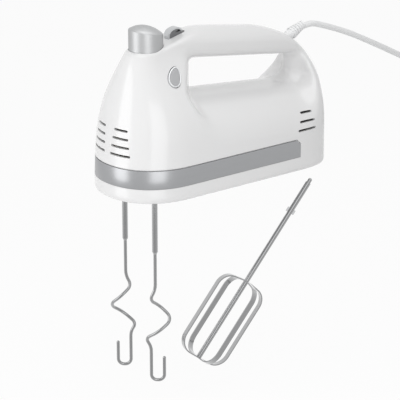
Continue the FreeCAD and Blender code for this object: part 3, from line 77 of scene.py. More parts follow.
# %% Camera
AZIMUTH, ELEVATION = math.radians(38), math.radians(19.5)
DISTANCE = 1600.0
AIM_RIGHT, AIM_DOWN, AIM_RAISED = 73.1, 13.4, 12.3
right = np.array([math.cos(AZIMUTH), -math.sin(AZIMUTH), 0])
back = np.array([-math.sin(AZIMUTH) * math.cos(ELEVATION), -math.cos(AZIMUTH) * math.cos(ELEVATION),
                 math.sin(ELEVATION)])
above = np.cross(back, right)
place = AIM_RIGHT * right - AIM_DOWN * above + DISTANCE * back + np.array([0, 0, AIM_RAISED])
camera = bpy.data.objects.new("studio_camera", bpy.data.cameras.new("studio_camera"))
bpy.context.scene.collection.objects.link(camera)
camera.location = from_bench(place)
camera.rotation_mode = "QUATERNION"
camera.rotation_quaternion = Vector(-back).to_track_quat("-Z", "Y")
camera.data.lens = 184.75
camera.data.sensor_width = 36
camera.data.clip_start, camera.data.clip_end = 0.05, 20
bpy.context.scene.camera = camera
print("camera at", [round(v, 3) for v in camera.location])

# %% [markdown]
# ## Building surfaces from arrays
# Most pieces here are grids: one array of points with two directions, either of which may close on
# itself. One helper turns such an array into faces, and another closes its open ends with a fan.

# %% Grid to mesh
def grid_faces(rows, columns, close_rows, close_columns, start=0):
    """Quads between neighbours of a rows x columns grid of point numbers."""
    r = np.arange(rows if close_rows else rows - 1)
    c = np.arange(columns if close_columns else columns - 1)
    r, c = np.meshgrid(r, c, indexing="ij")
    r2, c2 = (r + 1) % rows, (c + 1) % columns
    quads = np.stack([r * columns + c, r2 * columns + c, r2 * columns + c2, r * columns + c2], -1)
    return quads.reshape(-1, 4) + start


def make_object(name, points, faces, body, material, smooth_angle=40):
    """A mesh object from bench points and faces, outward facing, riding on a body."""
    mesh = bpy.data.meshes.new(name)
    mesh.from_pydata(from_bench(points).tolist(), [], [list(f) for f in faces])
    tidy = bmesh.new()
    tidy.from_mesh(mesh)
    bmesh.ops.remove_doubles(tidy, verts=tidy.verts, dist=1e-7)
    bmesh.ops.recalc_face_normals(tidy, faces=tidy.faces)
    tidy.to_mesh(mesh)
    tidy.free()
    mesh.shade_smooth()
    mesh.set_sharp_from_angle(angle=math.radians(smooth_angle))
    item = bpy.data.objects.new(name, mesh)
    bpy.context.scene.collection.objects.link(item)
    mesh.materials.append(material)
    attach(item, body)
    return item


def loft(grid):
    """Points and faces of a stack of closed rings; the first and last rings get a fan to a middle."""
    rows, columns = grid.shape[:2]
    points = grid.reshape(-1, 3)
    faces = grid_faces(rows, columns, False, True).tolist()
    first, last = len(points), len(points) + 1
    points = np.vstack([points, grid[0].mean(0), grid[-1].mean(0)])
    low = (rows - 1) * columns
    around = [(a, (a + 1) % columns) for a in range(columns)]
    faces += [[b, a, first] for a, b in around]
    faces += [[low + a, low + b, last] for a, b in around]
    return points, faces


# %% [markdown]
# ## Finishes
# Three effects are shared by many finishes, so each is one node group with named sockets: a fine
# moulded grain, brushed lines, and soft handling marks that change the gloss from place to place.

# %% Shared effects as node groups
def new_group(name, inputs, outputs):
    """An empty node group whose sockets are floats, except Vector."""
    group = bpy.data.node_groups.new(name, "ShaderNodeTree")
    for label, value in inputs:
        kind = "NodeSocketVector" if label == "Vector" else "NodeSocketFloat"
        socket = group.interface.new_socket(name=label, in_out="INPUT", socket_type=kind)
        if value is not None:
            socket.default_value = value
    for label in outputs:
        group.interface.new_socket(name=label, in_out="OUTPUT", socket_type="NodeSocketFloat")
    return group, group.nodes.new("NodeGroupInput"), group.nodes.new("NodeGroupOutput")


def maths(tree, operation, a, b):
    """A Math node on two sockets or numbers; returns its output."""
    node = tree.nodes.new("ShaderNodeMath")
    node.operation = operation
    for socket, value in zip(node.inputs, (a, b)):
        if isinstance(value, (int, float)):
            socket.default_value = value
        else:
            tree.links.new(value, socket)
    return node.outputs[0]


def noise(tree, vector, scale, detail):
    """A Noise Texture node, with its scale as a number or a socket; returns its output."""
    node = tree.nodes.new("ShaderNodeTexNoise")
    node.inputs["Detail"].default_value = detail
    tree.links.new(vector, node.inputs["Vector"])
    if isinstance(scale, (int, float)):
        node.inputs["Scale"].default_value = scale
    else:
        tree.links.new(scale, node.inputs["Scale"])
    return node.outputs["Fac"]


def swing_about(tree, value, middle, size, base):
    """base plus size times how far value is from its middle."""
    return maths(tree, "ADD", maths(tree, "MULTIPLY", maths(tree, "SUBTRACT", value, middle), size), base)


def grain_group():
    """Moulded grain: fine noise for the height and slower noise for a faint change of tone."""
    group, source, result = new_group("moulded_grain", [("Vector", None), ("Scale", 900.0), ("Tone", 0.03)],
                                      ["Height", "Shade"])
    fine = noise(group, source.outputs["Vector"], source.outputs["Scale"], 2.0)
    slow = noise(group, source.outputs["Vector"], 22.0, 4.0)
    group.links.new(fine, result.inputs["Height"])
    group.links.new(swing_about(group, slow, 0.5, source.outputs["Tone"], 1.0), result.inputs["Shade"])
    return group


def brushed_group():
    """Brushed lines: noise on coordinates squeezed along one direction."""
    group, source, result = new_group("brushed_lines", [("Vector", None), ("Scale", 60.0), ("Tone", 0.1)],
                                      ["Height", "Shade"])
    stretch = group.nodes.new("ShaderNodeMapping")
    stretch.inputs["Scale"].default_value = (1.0, 12.0, 60.0)
    group.links.new(source.outputs["Vector"], stretch.inputs["Vector"])
    lines = noise(group, stretch.outputs["Vector"], source.outputs["Scale"], 4.0)
    group.links.new(lines, result.inputs["Height"])
    group.links.new(swing_about(group, lines, 0.5, source.outputs["Tone"], 1.0), result.inputs["Shade"])
    return group


def marks_group():
    """Handling marks: blotches and fine scratches that raise or lower the roughness."""
    group, source, result = new_group("handling_marks", [("Vector", None), ("Base", 0.2), ("Spread", 0.05)],
                                      ["Roughness"])
    blotches = noise(group, source.outputs["Vector"], 35.0, 5.0)
    fine = noise(group, source.outputs["Vector"], 400.0, 2.0)
    both = maths(group, "ADD", blotches, maths(group, "MULTIPLY", fine, 0.3))
    group.links.new(swing_about(group, both, 0.65, source.outputs["Spread"], source.outputs["Base"]),
                    result.inputs["Roughness"])
    return group


GRAIN, BRUSHED, MARKS = grain_group(), brushed_group(), marks_group()
print("node groups", [g.name for g in (GRAIN, BRUSHED, MARKS)])

# %% [markdown]
# A finish is a Principled shader fed by those groups: the tone multiplies the colour, the marks set
# the roughness, and the height goes through a Bump node. Plain numbers stay on the shader itself.
# A finish may also carry a painted reflection, which pales its colour where the surface is seen edge-on.

# %% One maker for every finish
def finish(name, colour, rough, metal=0.0, effect=None, scale=900.0, tone=0.03, bump=0.02, spread=0.05,
           coat=0.0, specular=0.5, painted_reflection_colour=None):
    """A Principled material whose colour, roughness and normal vary over the surface; a painted reflection
    colour, if given, is blended in where the surface is seen edge-on, leaving it darker where it faces the
    camera.
    """
    material = bpy.data.materials.new(name)
    material.use_nodes = True
    tree = material.node_tree
    shader = tree.nodes["Principled BSDF"]
    where = tree.nodes.new("ShaderNodeTexCoord").outputs["Object"]
    surface = tree.nodes.new("ShaderNodeGroup")
    surface.node_tree = effect or GRAIN
    surface.inputs["Scale"].default_value = scale
    surface.inputs["Tone"].default_value = tone
    tree.links.new(where, surface.inputs["Vector"])
    marks = tree.nodes.new("ShaderNodeGroup")
    marks.node_tree = MARKS
    marks.inputs["Base"].default_value = rough
    marks.inputs["Spread"].default_value = spread
    tree.links.new(where, marks.inputs["Vector"])
    tint = tree.nodes.new("ShaderNodeVectorMath")
    tint.operation = "SCALE"
    tint.inputs[0].default_value = colour
    tree.links.new(surface.outputs["Shade"], tint.inputs["Scale"])
    tree.links.new(tint.outputs[0], shader.inputs["Base Color"])
    tree.links.new(marks.outputs["Roughness"], shader.inputs["Roughness"])
    relief = tree.nodes.new("ShaderNodeBump")
    relief.inputs["Strength"].default_value = bump
    relief.inputs["Distance"].default_value = 0.0003
    tree.links.new(surface.outputs["Height"], relief.inputs["Height"])
    tree.links.new(relief.outputs["Normal"], shader.inputs["Normal"])
    # Painted reflection: the colour runs from the dark tint where the surface faces the camera to a pale
    # tone where it is seen edge-on.
    if painted_reflection_colour:
        facing = tree.nodes.new("ShaderNodeLayerWeight")
        facing.inputs["Blend"].default_value = 0.5
        blend = tree.nodes.new("ShaderNodeMix")
        blend.data_type = "RGBA"
        blend.inputs["B"].default_value = (*painted_reflection_colour, 1)
        tree.links.new(facing.outputs["Facing"], blend.inputs["Factor"])
        tree.links.new(tint.outputs[0], blend.inputs["A"])
        tree.links.new(blend.outputs["Result"], shader.inputs["Base Color"])
    shader.inputs["Metallic"].default_value = metal
    shader.inputs["Coat Weight"].default_value = coat
    shader.inputs["Coat Roughness"].default_value = 0.08
    shader.inputs["Specular IOR Level"].default_value = specular
    return material


body_white = finish("glossy_white_plastic", (0.80, 0.80, 0.802), 0.2, coat=0.25, bump=0.015, tone=0.012)
trim_grey = finish("satin_grey_metal", (0.36, 0.365, 0.375), 0.3, metal=0.75, effect=BRUSHED, scale=40,
                   tone=0.06, bump=0.02)
cap_silver = finish("brushed_silver", (0.45, 0.455, 0.46), 0.46, metal=0.9, effect=BRUSHED, scale=50,
                    tone=0.15, bump=0.05)
bright_chrome = finish("bright_chrome", (0.56, 0.57, 0.58), 0.12, metal=1.0, tone=0.01, bump=0.0,
                       spread=0.03)
# The tool steel gets a painted reflection: dark where it faces the camera, pale towards its edges.
tool_steel = finish("polished_tool_steel", (0.22, 0.222, 0.225), 0.16, metal=1.0, effect=BRUSHED, scale=30,
                    tone=0.05, bump=0.01, painted_reflection_colour=(0.72, 0.725, 0.73))
ring_silver = finish("satin_silver_ring", (0.74, 0.75, 0.76), 0.3, metal=0.5, tone=0.02)
slider_grey = finish("dark_grey_control", (0.16, 0.163, 0.168), 0.35, tone=0.04)
turbo_grey = finish("grey_control", (0.44, 0.445, 0.455), 0.4, tone=0.03)
lead_white = finish("white_lead_jacket", (0.86, 0.865, 0.87), 0.42, tone=0.03, bump=0.04, scale=600)
pin_steel = finish("turned_steel", (0.55, 0.56, 0.57), 0.25, metal=1.0, effect=BRUSHED, scale=40,
                   tone=0.1)
inner_plastic = finish("natural_plastic", (0.68, 0.66, 0.58), 0.4)
laminations = finish("steel_laminations", (0.22, 0.225, 0.235), 0.45, metal=0.8, effect=BRUSHED,
                     scale=90, tone=0.3, bump=0.1)
enamelled_wire = finish("enamelled_copper", (0.55, 0.23, 0.11), 0.3, metal=0.8, effect=BRUSHED,
                        scale=90, tone=0.3, bump=0.1)
sintered_bronze = finish("sintered_bronze", (0.45, 0.32, 0.15), 0.45, metal=0.9, tone=0.15, bump=0.1)
carbon_black = finish("carbon_block", (0.03, 0.03, 0.032), 0.6, tone=0.2, bump=0.1)
switch_black = finish("black_switch_case", (0.035, 0.035, 0.04), 0.4)
wire_blue = finish("blue_wire_sleeve", (0.10, 0.24, 0.55), 0.4)
film_yellow = finish("yellow_film_case", (0.6, 0.45, 0.12), 0.3)
print(len(bpy.data.materials), "materials")

# %% [markdown]
# Most inner parts keep their engineering shape. Each gets the finish of what it is made of, by the
# name of its material slot in the record.

# %% Finishes for the engineering parts
BY_SLOT = {
    "white_shell": body_white, "trim": trim_grey, "silver": cap_silver, "chrome": bright_chrome,
    "dark_control": slider_grey, "grey_control": turbo_grey, "white_cord": lead_white,
    "tool_steel": tool_steel, "inner_plastic": inner_plastic, "gear_plastic": inner_plastic,
    "steel": pin_steel, "laminations": laminations, "copper": enamelled_wire, "bronze": sintered_bronze,
    "carbon": carbon_black, "wire": wire_blue, "black_plastic": switch_black, "yellow_film": film_yellow,
}
for entry in frame["record"]["subparts"]:
    mesh = nodes[entry["node"]].data
    mesh.materials.clear()
    mesh.materials.append(BY_SLOT[entry["material_slot"]])
print("repainted", len(nodes), "nodes")

# %% [markdown]
# ## The body as a formula
# The body has no flat side except its base, so it is written as a function that is negative inside
# and positive outside. It is the hull (a stack of rounded outlines that narrow towards the crown),
# less the deck in front and less the flared opening under the handle. Where two of these meet, a
# smooth maximum rounds the edge, as a mould maker would.

# %% Hull, deck and opening as signed functions
BASE_HALF, GRIP_HALF = 45.0, 14.5
LENGTH, CROWN, CROWN_FALL = 203.5, 137.5, 0.15
DRAW_FROM, DRAW_SPAN = 0.28, 0.62       # the sides draw in over this share of the height
NOSE_LEAN, NOSE_BEND, NOSE_ROUND = 36.5, 2.5, 2.17
NOSE_EXTRA, HEEL_EXTRA = 2.5, 5         # how much longer than wide each end's outline is
HEEL_LEAN, HEEL_FULLEST, SHOULDER = 3.5, 0.62, 54
EJECT_X = 39.5
DECK_HEIGHT, DECK_SLOPE = 113.5, 0.24
SHELF_HEIGHT, SHELF_SLOPE = 114.6, 0.05
GAP_FRONT, GAP_REAR = 77.5, 181.0
GAP_TOP, GAP_TOP_FALL = 100.5, 0.132
GAP_FLOOR, GAP_FLOOR_FALL = 73.8, 0.087
WALL = 2.4


def crown(x):
    """Height of the sloping crown line."""
    return CROWN - CROWN_FALL * x


def half_width(level):
    """Half the hull's width at a share of the crown's height: full at the base, then drawn in."""
    drawn = np.clip((level - DRAW_FROM) / DRAW_SPAN, 0, 1)
    return GRIP_HALF + (BASE_HALF - GRIP_HALF) * (1 + np.cos(np.pi * drawn**1.4)) / 2


def soft_max(a, b, blend):
    """The larger of two distances, with the corner between them rounded over a blend width."""
    h = np.maximum(blend - np.abs(a - b), 0) / blend
    return np.maximum(a, b) + h * h * blend / 4


def hull_ratio(x, y, z):
    """1 on the hull, less inside: a power mean of the distance along and across each outline."""
    level = z / crown(x)
    width = half_width(level)
    over = np.maximum((level - 0.90) / 0.104, 0)
    narrow = width * np.sqrt(np.clip(1 - over**2, 0.01, 1))
    low = np.clip(level, 0, 1)
    nose = NOSE_LEAN * low**NOSE_BEND
    heel_over = np.clip((low - HEEL_FULLEST) / (1 - HEEL_FULLEST), 0, 0.9999)
    heel = LENGTH - HEEL_LEAN * (1 - np.minimum(low / HEEL_FULLEST, 1))
    heel -= SHOULDER * (1 - np.sqrt(1 - heel_over**2))
    nose_run, heel_run = narrow + NOSE_EXTRA, narrow + HEEL_EXTRA
    ahead = np.maximum((nose + nose_run - x) / nose_run, 0)
    behind = np.maximum((x - heel + heel_run) / heel_run, 0)
    across = np.sqrt((y / width) ** 2 + over**2)
    power = np.where(behind > 0, 4 - 1.7 * low, NOSE_ROUND)
    along = np.maximum(ahead, behind)
    return (along**power + across**power + 1e-12) ** (1 / power)


def hull_distance(x, y, z):
    """The ratio turned into a distance by dividing by its own slope."""
    step = 0.05
    value = hull_ratio(x, y, z)
    slopes = [
        (hull_ratio(x + step, y, z) - value) / step,
        (hull_ratio(x, y + step, z) - value) / step,
        (hull_ratio(x, y, z + step) - value) / step,
    ]
    slope = np.sqrt(sum(s * s for s in slopes))
    return (value - 1) / np.maximum(slope, 0.004)


def deck_distance(x, z):
    """Height over the deck: a level shelf round the eject button, then a slope up to the handle."""
    from_button = x - EJECT_X
    shelf = SHELF_HEIGHT + SHELF_SLOPE * from_button
    rise = soft_max(shelf, DECK_HEIGHT + DECK_SLOPE * from_button, 2.0)
    return (z - rise) * math.cos(math.atan(DECK_SLOPE))


def opening_distance(x, y, z):
    """Distance to the flared opening: a four-sided loop whose sides move out with |y|.

    Its corners are round. They grow where the body is wider than the handle, and the rear pair
    passes from a tight corner at the top to a generous one at the floor.
    """
    side = np.abs(y)
    beyond = np.maximum(side - GRIP_HALF, 0)
    front = GAP_FRONT - 21.5 * np.sin(np.pi / 2 * np.minimum(side / 36, 1)) ** 2
    rear = GAP_REAR + 8 * np.sin(np.pi / 2 * np.minimum(side / 18, 1)) ** 2
    up = 11 * (1 - np.sqrt(1 - np.minimum(side / GRIP_HALF, 0.999) ** 2)) + 0.25 * beyond
    down = 38 * (1 - np.sqrt(1 - np.minimum(side / 46, 0.999) ** 2))
    top = GAP_TOP - GAP_TOP_FALL * (x - GAP_FRONT) + up
    floor = GAP_FLOOR - GAP_FLOOR_FALL * (x - GAP_FRONT) - down
    spread = 0.9 * beyond
    rise = np.clip((z - floor) / (top - floor), 0, 1)
    rise = rise * rise * (3 - 2 * rise)
    rear_corner = (14 + 0.45 * spread) * (1 - rise) + (5 + 0.3 * spread) * rise
    front_corner = np.where(z > (top + floor) / 2, 6 + 0.3 * spread, 4 + spread)
    corner = np.where(x < (front + rear) / 2, front_corner, rear_corner)
    along = np.maximum(front - x, x - rear) + corner
    upright = np.maximum(z - top, floor - z) + corner
    outside = np.sqrt(np.maximum(along, 0) ** 2 + np.maximum(upright, 0) ** 2)
    return np.minimum(np.maximum(along, upright), 0) + outside - corner


def body_distance(x, y, z, inset=0.0):
    """Hull, deck, base and opening together, moved inwards by inset."""
    shape = soft_max(hull_distance(x, y, z), deck_distance(x, z), 3.5)
    shape = soft_max(shape, -z, 4.0)
    shape = soft_max(shape, -opening_distance(x, y, z), 5.0)
    return shape + inset


# %% [markdown]
# A loop handle has the shape of a ring, so the ring's own coordinates fit it: an angle round the
# middle of the opening, and in each such section a second angle round a core point. From the core a
# straight search outwards halves its step until it stands on the surface, for every point at once.

# %% Search for the surface on a ring of sections
MIDDLE_X, MIDDLE_Z = 129.0, 84.0        # inside the opening


def find_edge(inside, low, high, rounds=34):
    """Halving search on whole arrays: the place between low and high where inside turns false."""
    for _ in range(rounds):
        half = (low + high) / 2
        keep = inside(half)
        low, high = np.where(keep, half, low), np.where(keep, high, half)
    return (low + high) / 2


def ring_surface(sections, around, inset):
    """Grid of surface points: rows go round the opening and columns round each section."""
    fine = np.linspace(0, 2 * np.pi, 1440, endpoint=False)
    cos_f, sin_f = np.cos(fine), np.sin(fine)
    inner = find_edge(lambda t: opening_distance(MIDDLE_X + t * cos_f, 0 * t, MIDDLE_Z + t * sin_f) < 0,
                      np.zeros_like(fine), np.full_like(fine, 90.0))
    outer = find_edge(
        lambda t: np.maximum(hull_ratio(MIDDLE_X + t * cos_f, 0 * t, MIDDLE_Z + t * sin_f) - 1,
                             np.maximum(deck_distance(MIDDLE_X + t * cos_f, MIDDLE_Z + t * sin_f),
                                        -(MIDDLE_Z + t * sin_f))) < 0,
        inner + 4, np.full_like(fine, 170.0))
    weight = np.cumsum(outer + 25)
    weight = np.concatenate([[0], weight]) / weight[-1]
    angle = np.interp(np.linspace(0, 1, sections, endpoint=False), weight, np.append(fine, 2 * np.pi))
    core = np.interp(angle, fine, inner * 0.5 + outer * 0.5, period=2 * np.pi)[:, None]
    turn = np.linspace(0, 2 * np.pi, around, endpoint=False)[None, :]
    out, side = np.cos(turn), np.sin(turn)
    reach = np.where(out < -0.02, np.minimum(150, 0.985 * core / np.maximum(-out, 0.02)), 150.0 + 0 * core)

    def place_at(t):
        radius = core + t * out
        return (MIDDLE_X + radius * np.cos(angle)[:, None], t * side,
                MIDDLE_Z + radius * np.sin(angle)[:, None])

    depth = find_edge(lambda t: body_distance(*place_at(t), inset) < 0, 0 * reach, reach)
    return np.stack(place_at(depth), -1)


outside = ring_surface(470, 204, 0.0)
inside = ring_surface(260, 110, WALL)
print("body skin", outside.shape, "cavity", inside.shape)
print("body box", outside.reshape(-1, 3).min(0).round(1), outside.reshape(-1, 3).max(0).round(1))

# %% [markdown]
# The outer skin and the cavity wall are one closed mesh with a real wall between them, so that every
# slot cut later shows its thickness and looks into the dark inside.

# %% Body skin
count = outside.shape[0] * outside.shape[1]
skin_faces = np.vstack([
    grid_faces(*outside.shape[:2], True, True),
    grid_faces(*inside.shape[:2], True, True, start=count)[:, ::-1],
])
skin_points = np.vstack([outside.reshape(-1, 3), inside.reshape(-1, 3)])
skin_mesh = bpy.data.meshes.new("mixer_body")
skin_mesh.from_pydata(from_bench(skin_points).tolist(), [], skin_faces.tolist())
check = bmesh.new()
check.from_mesh(skin_mesh)
volume = check.calc_volume(signed=True)
check.free()
if volume < 0:
    skin_mesh.flip_normals()
print("wall volume in cm3", round(abs(volume) * 1e6, 1), "signed", volume > 0)
mixer_body = bpy.data.objects.new("mixer_body", skin_mesh)
bpy.context.scene.collection.objects.link(mixer_body)

# %% [markdown]
# ## Cutting the holes
# The button, slider, spindles, vents, screws and trim band all need holes. Their cutters are plain
# prisms with round ends. They are joined into one cutter and taken away in a single exact boolean.

# %% Prisms with a chosen outline
def prism(outline, low, high, origin, x_axis, y_axis):
    """A closed prism: a flat outline carried from low to high along the normal of its two axes."""
    x_axis, y_axis = np.asarray(x_axis, float), np.asarray(y_axis, float)
    normal = np.cross(x_axis, y_axis)
    flat = origin + outline[:, :1] * x_axis + outline[:, 1:] * y_axis
    return loft(np.stack([flat + normal * low, flat + normal * high]))


def stadium(length, width, steps=8):
    """Outline of a slot: two half circles joined by straight sides."""
    angle = np.linspace(-np.pi / 2, np.pi / 2, steps)
    end = np.stack([np.cos(angle), np.sin(angle)], 1) * width / 2
    shift = np.array([length / 2 - width / 2, 0])
    return np.vstack([end + shift, -end - shift])


def circle(radius, steps):
    """Outline of a round hole or rod."""
    angle = np.linspace(0, 2 * np.pi, steps, endpoint=False)
    return np.stack([np.cos(angle), np.sin(angle)], 1) * radius


UP, ALONG, ACROSS = np.array([0, 0, 1.0]), np.array([1.0, 0, 0]), np.array([0, 1.0, 0])
DECK_RISE = math.atan(DECK_SLOPE)
deck_along = np.array([math.cos(DECK_RISE), 0, math.sin(DECK_RISE)])
deck_up = np.array([-math.sin(DECK_RISE), 0, math.cos(DECK_RISE)])


def on_deck(x):
    """A point on the deck at x."""
    return np.array([x, 0, DECK_HEIGHT + DECK_SLOPE * (x - EJECT_X)])


EJECT_HOLE, SLOT_LONG, SLOT_WIDE, SLOT_X = 13.85, 16, 5.4, 69
SPINDLE_X, SPINDLE_Y, SPINDLE_HOLE = 32, 20, 5.2
cutters = [
    prism(circle(EJECT_HOLE, 96), -14, 20, np.array([EJECT_X, 0, DECK_HEIGHT]), ALONG, ACROSS),
    prism(stadium(SLOT_LONG, SLOT_WIDE), -7, 8, on_deck(SLOT_X), deck_along, ACROSS),
]
for y in (-SPINDLE_Y, SPINDLE_Y):
    cutters.append(prism(circle(SPINDLE_HOLE, 40), -3, 9, np.array([SPINDLE_X, y, 0.0]), ALONG, ACROSS))
print("control holes", len(cutters))

# %% [markdown]
# The nose vents are short slots that follow the round nose, and the heel vents are three longer
# slots on each side that lengthen downwards.

# %% Vent slots and screw holes
VENT_WIDE = 1.9
# height, then where each slot starts and ends: in degrees round the nose, or in mm along the side
NOSE_VENTS = ((37.5, 4.5, 29), (44, 5.5, 27.5), (50.5, 6.5, 26), (57, 8, 24.5))
HEEL_VENTS = ((34.5, 158.5, 178), (41, 161.5, 177), (47.5, 164.5, 176))
NOSE_CENTRE = 47.5
SCREWS = ((20, 78), (60, 60), (95, 110.7), (190, 62), (189, 10), (67, 8), (146, 8))
SCREW_HOLE, SCREW_Y = 3.1, 10.5
for height, start, end in NOSE_VENTS:
    for side in (-1, 1):
        middle = side * math.radians(start + end) / 2
        chord = 2 * NOSE_CENTRE * math.sin(math.radians(end - start) / 2)
        outward = np.array([-math.cos(middle), math.sin(middle), 0])
        tangent = np.array([outward[1], -outward[0], 0])
        origin = np.array([NOSE_CENTRE, 0, height]) + outward * (NOSE_CENTRE - 12)
        facing = np.sign(np.dot(np.cross(tangent, UP), outward))
        cutters.append(prism(stadium(chord, VENT_WIDE), -5, 22, origin, tangent * facing, UP))
for height, start, end in HEEL_VENTS:
    for side in (-1, 1):
        origin = np.array([(start + end) / 2, side * 38, height])
        cutters.append(prism(stadium(end - start, VENT_WIDE), -12, 14, origin, ALONG * side, UP * -1))
for x, z in SCREWS:
    cutters.append(prism(circle(SCREW_HOLE, 32), 0, 44, np.array([x, SCREW_Y, z]), UP, ALONG))
print("with vents and screws", len(cutters))

# %% [markdown]
# The turbo button is shaped like an egg with its narrow end up, and leans with the body's side. The
# strain relief leaves the handle through a round hole on the line from its foot to its tip.

# %% Turbo outline, its hole and the lead's hole
TURBO = np.array([49.1, -24.0, 94.1])
lean, spin = math.radians(56), math.radians(-31)
turbo_out = np.array([0, -math.sin(lean), math.cos(lean)])
flat_x, flat_y = ALONG, np.array([0, math.cos(lean), math.sin(lean)])
turbo_x = flat_x * math.cos(spin) + flat_y * math.sin(spin)
turbo_y = -flat_x * math.sin(spin) + flat_y * math.cos(spin)


def drop_outline(grow=0.0, steps=64):
    """An egg: x = w sin a, narrowed towards one end, y = c - h cos a, then grown along its normals."""
    a = np.linspace(0, 2 * np.pi, steps, endpoint=False)
    narrowed = 1 - 0.34 * (1 - np.cos(a)) / 2
    egg = np.stack([6.75 * np.sin(a) * narrowed, 0.45 - 9 * np.cos(a)], 1)
    tangent = np.roll(egg, -1, 0) - np.roll(egg, 1, 0)
    normal = np.stack([tangent[:, 1], -tangent[:, 0]], 1)
    return egg + grow * normal / np.linalg.norm(normal, axis=1, keepdims=True)


cutters.append(prism(drop_outline(0.5)[::-1], -9, 14, TURBO, turbo_x, turbo_y))
relief_foot, relief_tip = np.array([184, 0, 100.5]), np.array([200, 0, 107.8])
relief_way = (relief_tip - relief_foot) / np.linalg.norm(relief_tip - relief_foot)
relief_side = np.cross(relief_way, ACROSS)
cutters.append(prism(circle(4.2, 32), -6, 8, relief_foot, relief_side, ACROSS * -1))
print("drop width", np.ptp(drop_outline(), axis=0).round(2))

# %% [markdown]
# ## Trim band
# The band is a thin strip let into the hull from one side, round the nose, to the other. It follows
# the hull's outline at its own height, so the same outline formula gives the band, its groove and
# the fine shadow gap above it.

# %% Outline of the hull at a height
BAND_CORNER = 4.0


def hull_line(theta, z, inset):
    """Point on the hull at height z: theta runs -1..1 from the left rear end, round the nose."""
    x = np.full(np.broadcast(theta, z).shape, 20.0)
    angle = theta * np.pi / 2
    for _ in range(12):        # the crown slopes, so the level depends on x: a few rounds settle it
        level = z / crown(x)
        width = half_width(level) - inset
        nose = NOSE_LEAN * level**NOSE_BEND + inset
        run = width + NOSE_EXTRA
        x = nose + run - run * np.abs(np.cos(angle)) ** (2 / NOSE_ROUND)
    y = np.sign(angle) * np.abs(np.sin(angle)) ** (2 / NOSE_ROUND) * width
    return x, y


def band_solid(low, high, inset_in, inset_out, end, edge):
    """A strip with rounded edges: the hull's line at each height, out to the rear on both sides."""
    theta = np.sin(np.linspace(-1, 1, 90) * np.pi / 2)
    rises = np.array([0, 0, edge * 0.3, edge])
    insets = np.array([inset_in, inset_out + edge, inset_out + edge * 0.3, inset_out])
    height = high - low
    rises = np.concatenate([rises, height - rises[::-1]])
    insets = np.concatenate([insets, insets[::-1]])
    straight = np.linspace(0, 1, 26)[1:]
    nose_x, nose_y = hull_line(theta[:, None], (low + rises)[None, :], insets[None, :])
    z = np.broadcast_to((low + rises)[None, :], nose_x.shape)
    nose_part = np.stack([nose_x, nose_y, z], -1)
    run = end - nose_part[0, :, 0]

    def tail(start):
        """The straight part behind one end of the nose, with its upper rear corner rounded off."""
        points = np.repeat(start[None], len(straight), 0)
        points[:, :, 0] = start[None, :, 0] + straight[:, None] * run[None]
        over = np.clip((points[:, :, 0] - (end - BAND_CORNER)) / BAND_CORNER, 0, 1)
        drop = BAND_CORNER * (1 - np.sqrt(1 - over**2 * 0.999))
        points[:, :, 2] -= drop * (points[:, :, 2] - low) / height
        return points

    return loft(np.concatenate([tail(nose_part[0])[::-1], nose_part, tail(nose_part[-1])]))


band_points, band_faces = band_solid(12.35, 27.2, 1.15, 0.0, 160.9, 0.35)
trim_band = make_object("trim_band_skin", band_points, band_faces, "housing", trim_grey)
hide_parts("trim_band")
cutters.append(band_solid(12.3, 28.2, 1.3, -3.0, 161.0, 0.0))
print("band points", len(band_points))

# %% [markdown]
# Now the one boolean. The exact solver works out where the cutters cross the skin, and its result is
# kept as plain mesh, so nothing has to be worked out again later.

# %% Cut every hole in the body
cut_points, cut_faces, offset = [], [], 0
for points, faces in cutters:
    cut_points.append(points)
    cut_faces += [[int(i) + offset for i in face] for face in faces]
    offset += len(points)
cut_mesh = bpy.data.meshes.new("hole_cutters")
cut_mesh.from_pydata(from_bench(np.vstack(cut_points)).tolist(), [], cut_faces)
tidy = bmesh.new()
tidy.from_mesh(cut_mesh)
bmesh.ops.recalc_face_normals(tidy, faces=tidy.faces)
tidy.to_mesh(cut_mesh)
tidy.free()
cutter = bpy.data.objects.new("hole_cutters", cut_mesh)
bpy.context.scene.collection.objects.link(cutter)
cutting = mixer_body.modifiers.new("holes", "BOOLEAN")
cutting.operation = "DIFFERENCE"
cutting.solver = "EXACT"
cutting.object = cutter
cut_result = bpy.data.meshes.new_from_object(mixer_body.evaluated_get(bpy.context.evaluated_depsgraph_get()))
mixer_body.modifiers.clear()
mixer_body.data = cut_result
bpy.data.objects.remove(cutter)
cut_result.name = "mixer_body"
cut_result.materials.clear()
cut_result.materials.append(body_white)
cut_result.shade_smooth()
cut_result.set_sharp_from_angle(angle=math.radians(38))
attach(mixer_body, "housing")
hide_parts("left_housing", "right_housing")
print("body faces", len(cut_result.polygons))

# %% [markdown]
# ## Eject button
# A silver cup stands on the nose. Its top slopes down to the rear under a low dome, and the light
# catches its rounded rim. It is a profile turned round the button's axis; the top part of the
# profile is then sheared to the slope.

# %% Silver eject button
CAP_TOP = 128.2
CAP_SLOPE = math.tan(math.radians(11))
DOME = ((0.01, 4.4), (4, 4.0), (8, 2.8), (11.0, 1.2), (11.9, 0.65), (12.3, 0.35), (12.8, 0.0), (13.2, -0.4),
        (13.5, -0.8), (13.6, -1.5))
SKIRT = ((13.6, 119.0), (13.6, 104.4), (14.9, 104.4), (14.9, 103.0), (11.8, 103.0), (11.8, 118.0))
CEILING = ((11.8, -2.6), (6, -2.6), (0.01, -2.6))
angle = np.linspace(0, 2 * np.pi, 120, endpoint=False)


def turned(profile, sheared):
    """Rings at (radius, height) pairs; sheared ones are measured from the sloping top."""
    rings = []
    for radius, height in profile:
        x, y = EJECT_X + radius * np.cos(angle), radius * np.sin(angle)
        level = CAP_TOP + height - CAP_SLOPE * (x - EJECT_X) if sheared else np.full_like(x, height)
        rings.append(np.stack([x, y, level], -1))
    return rings


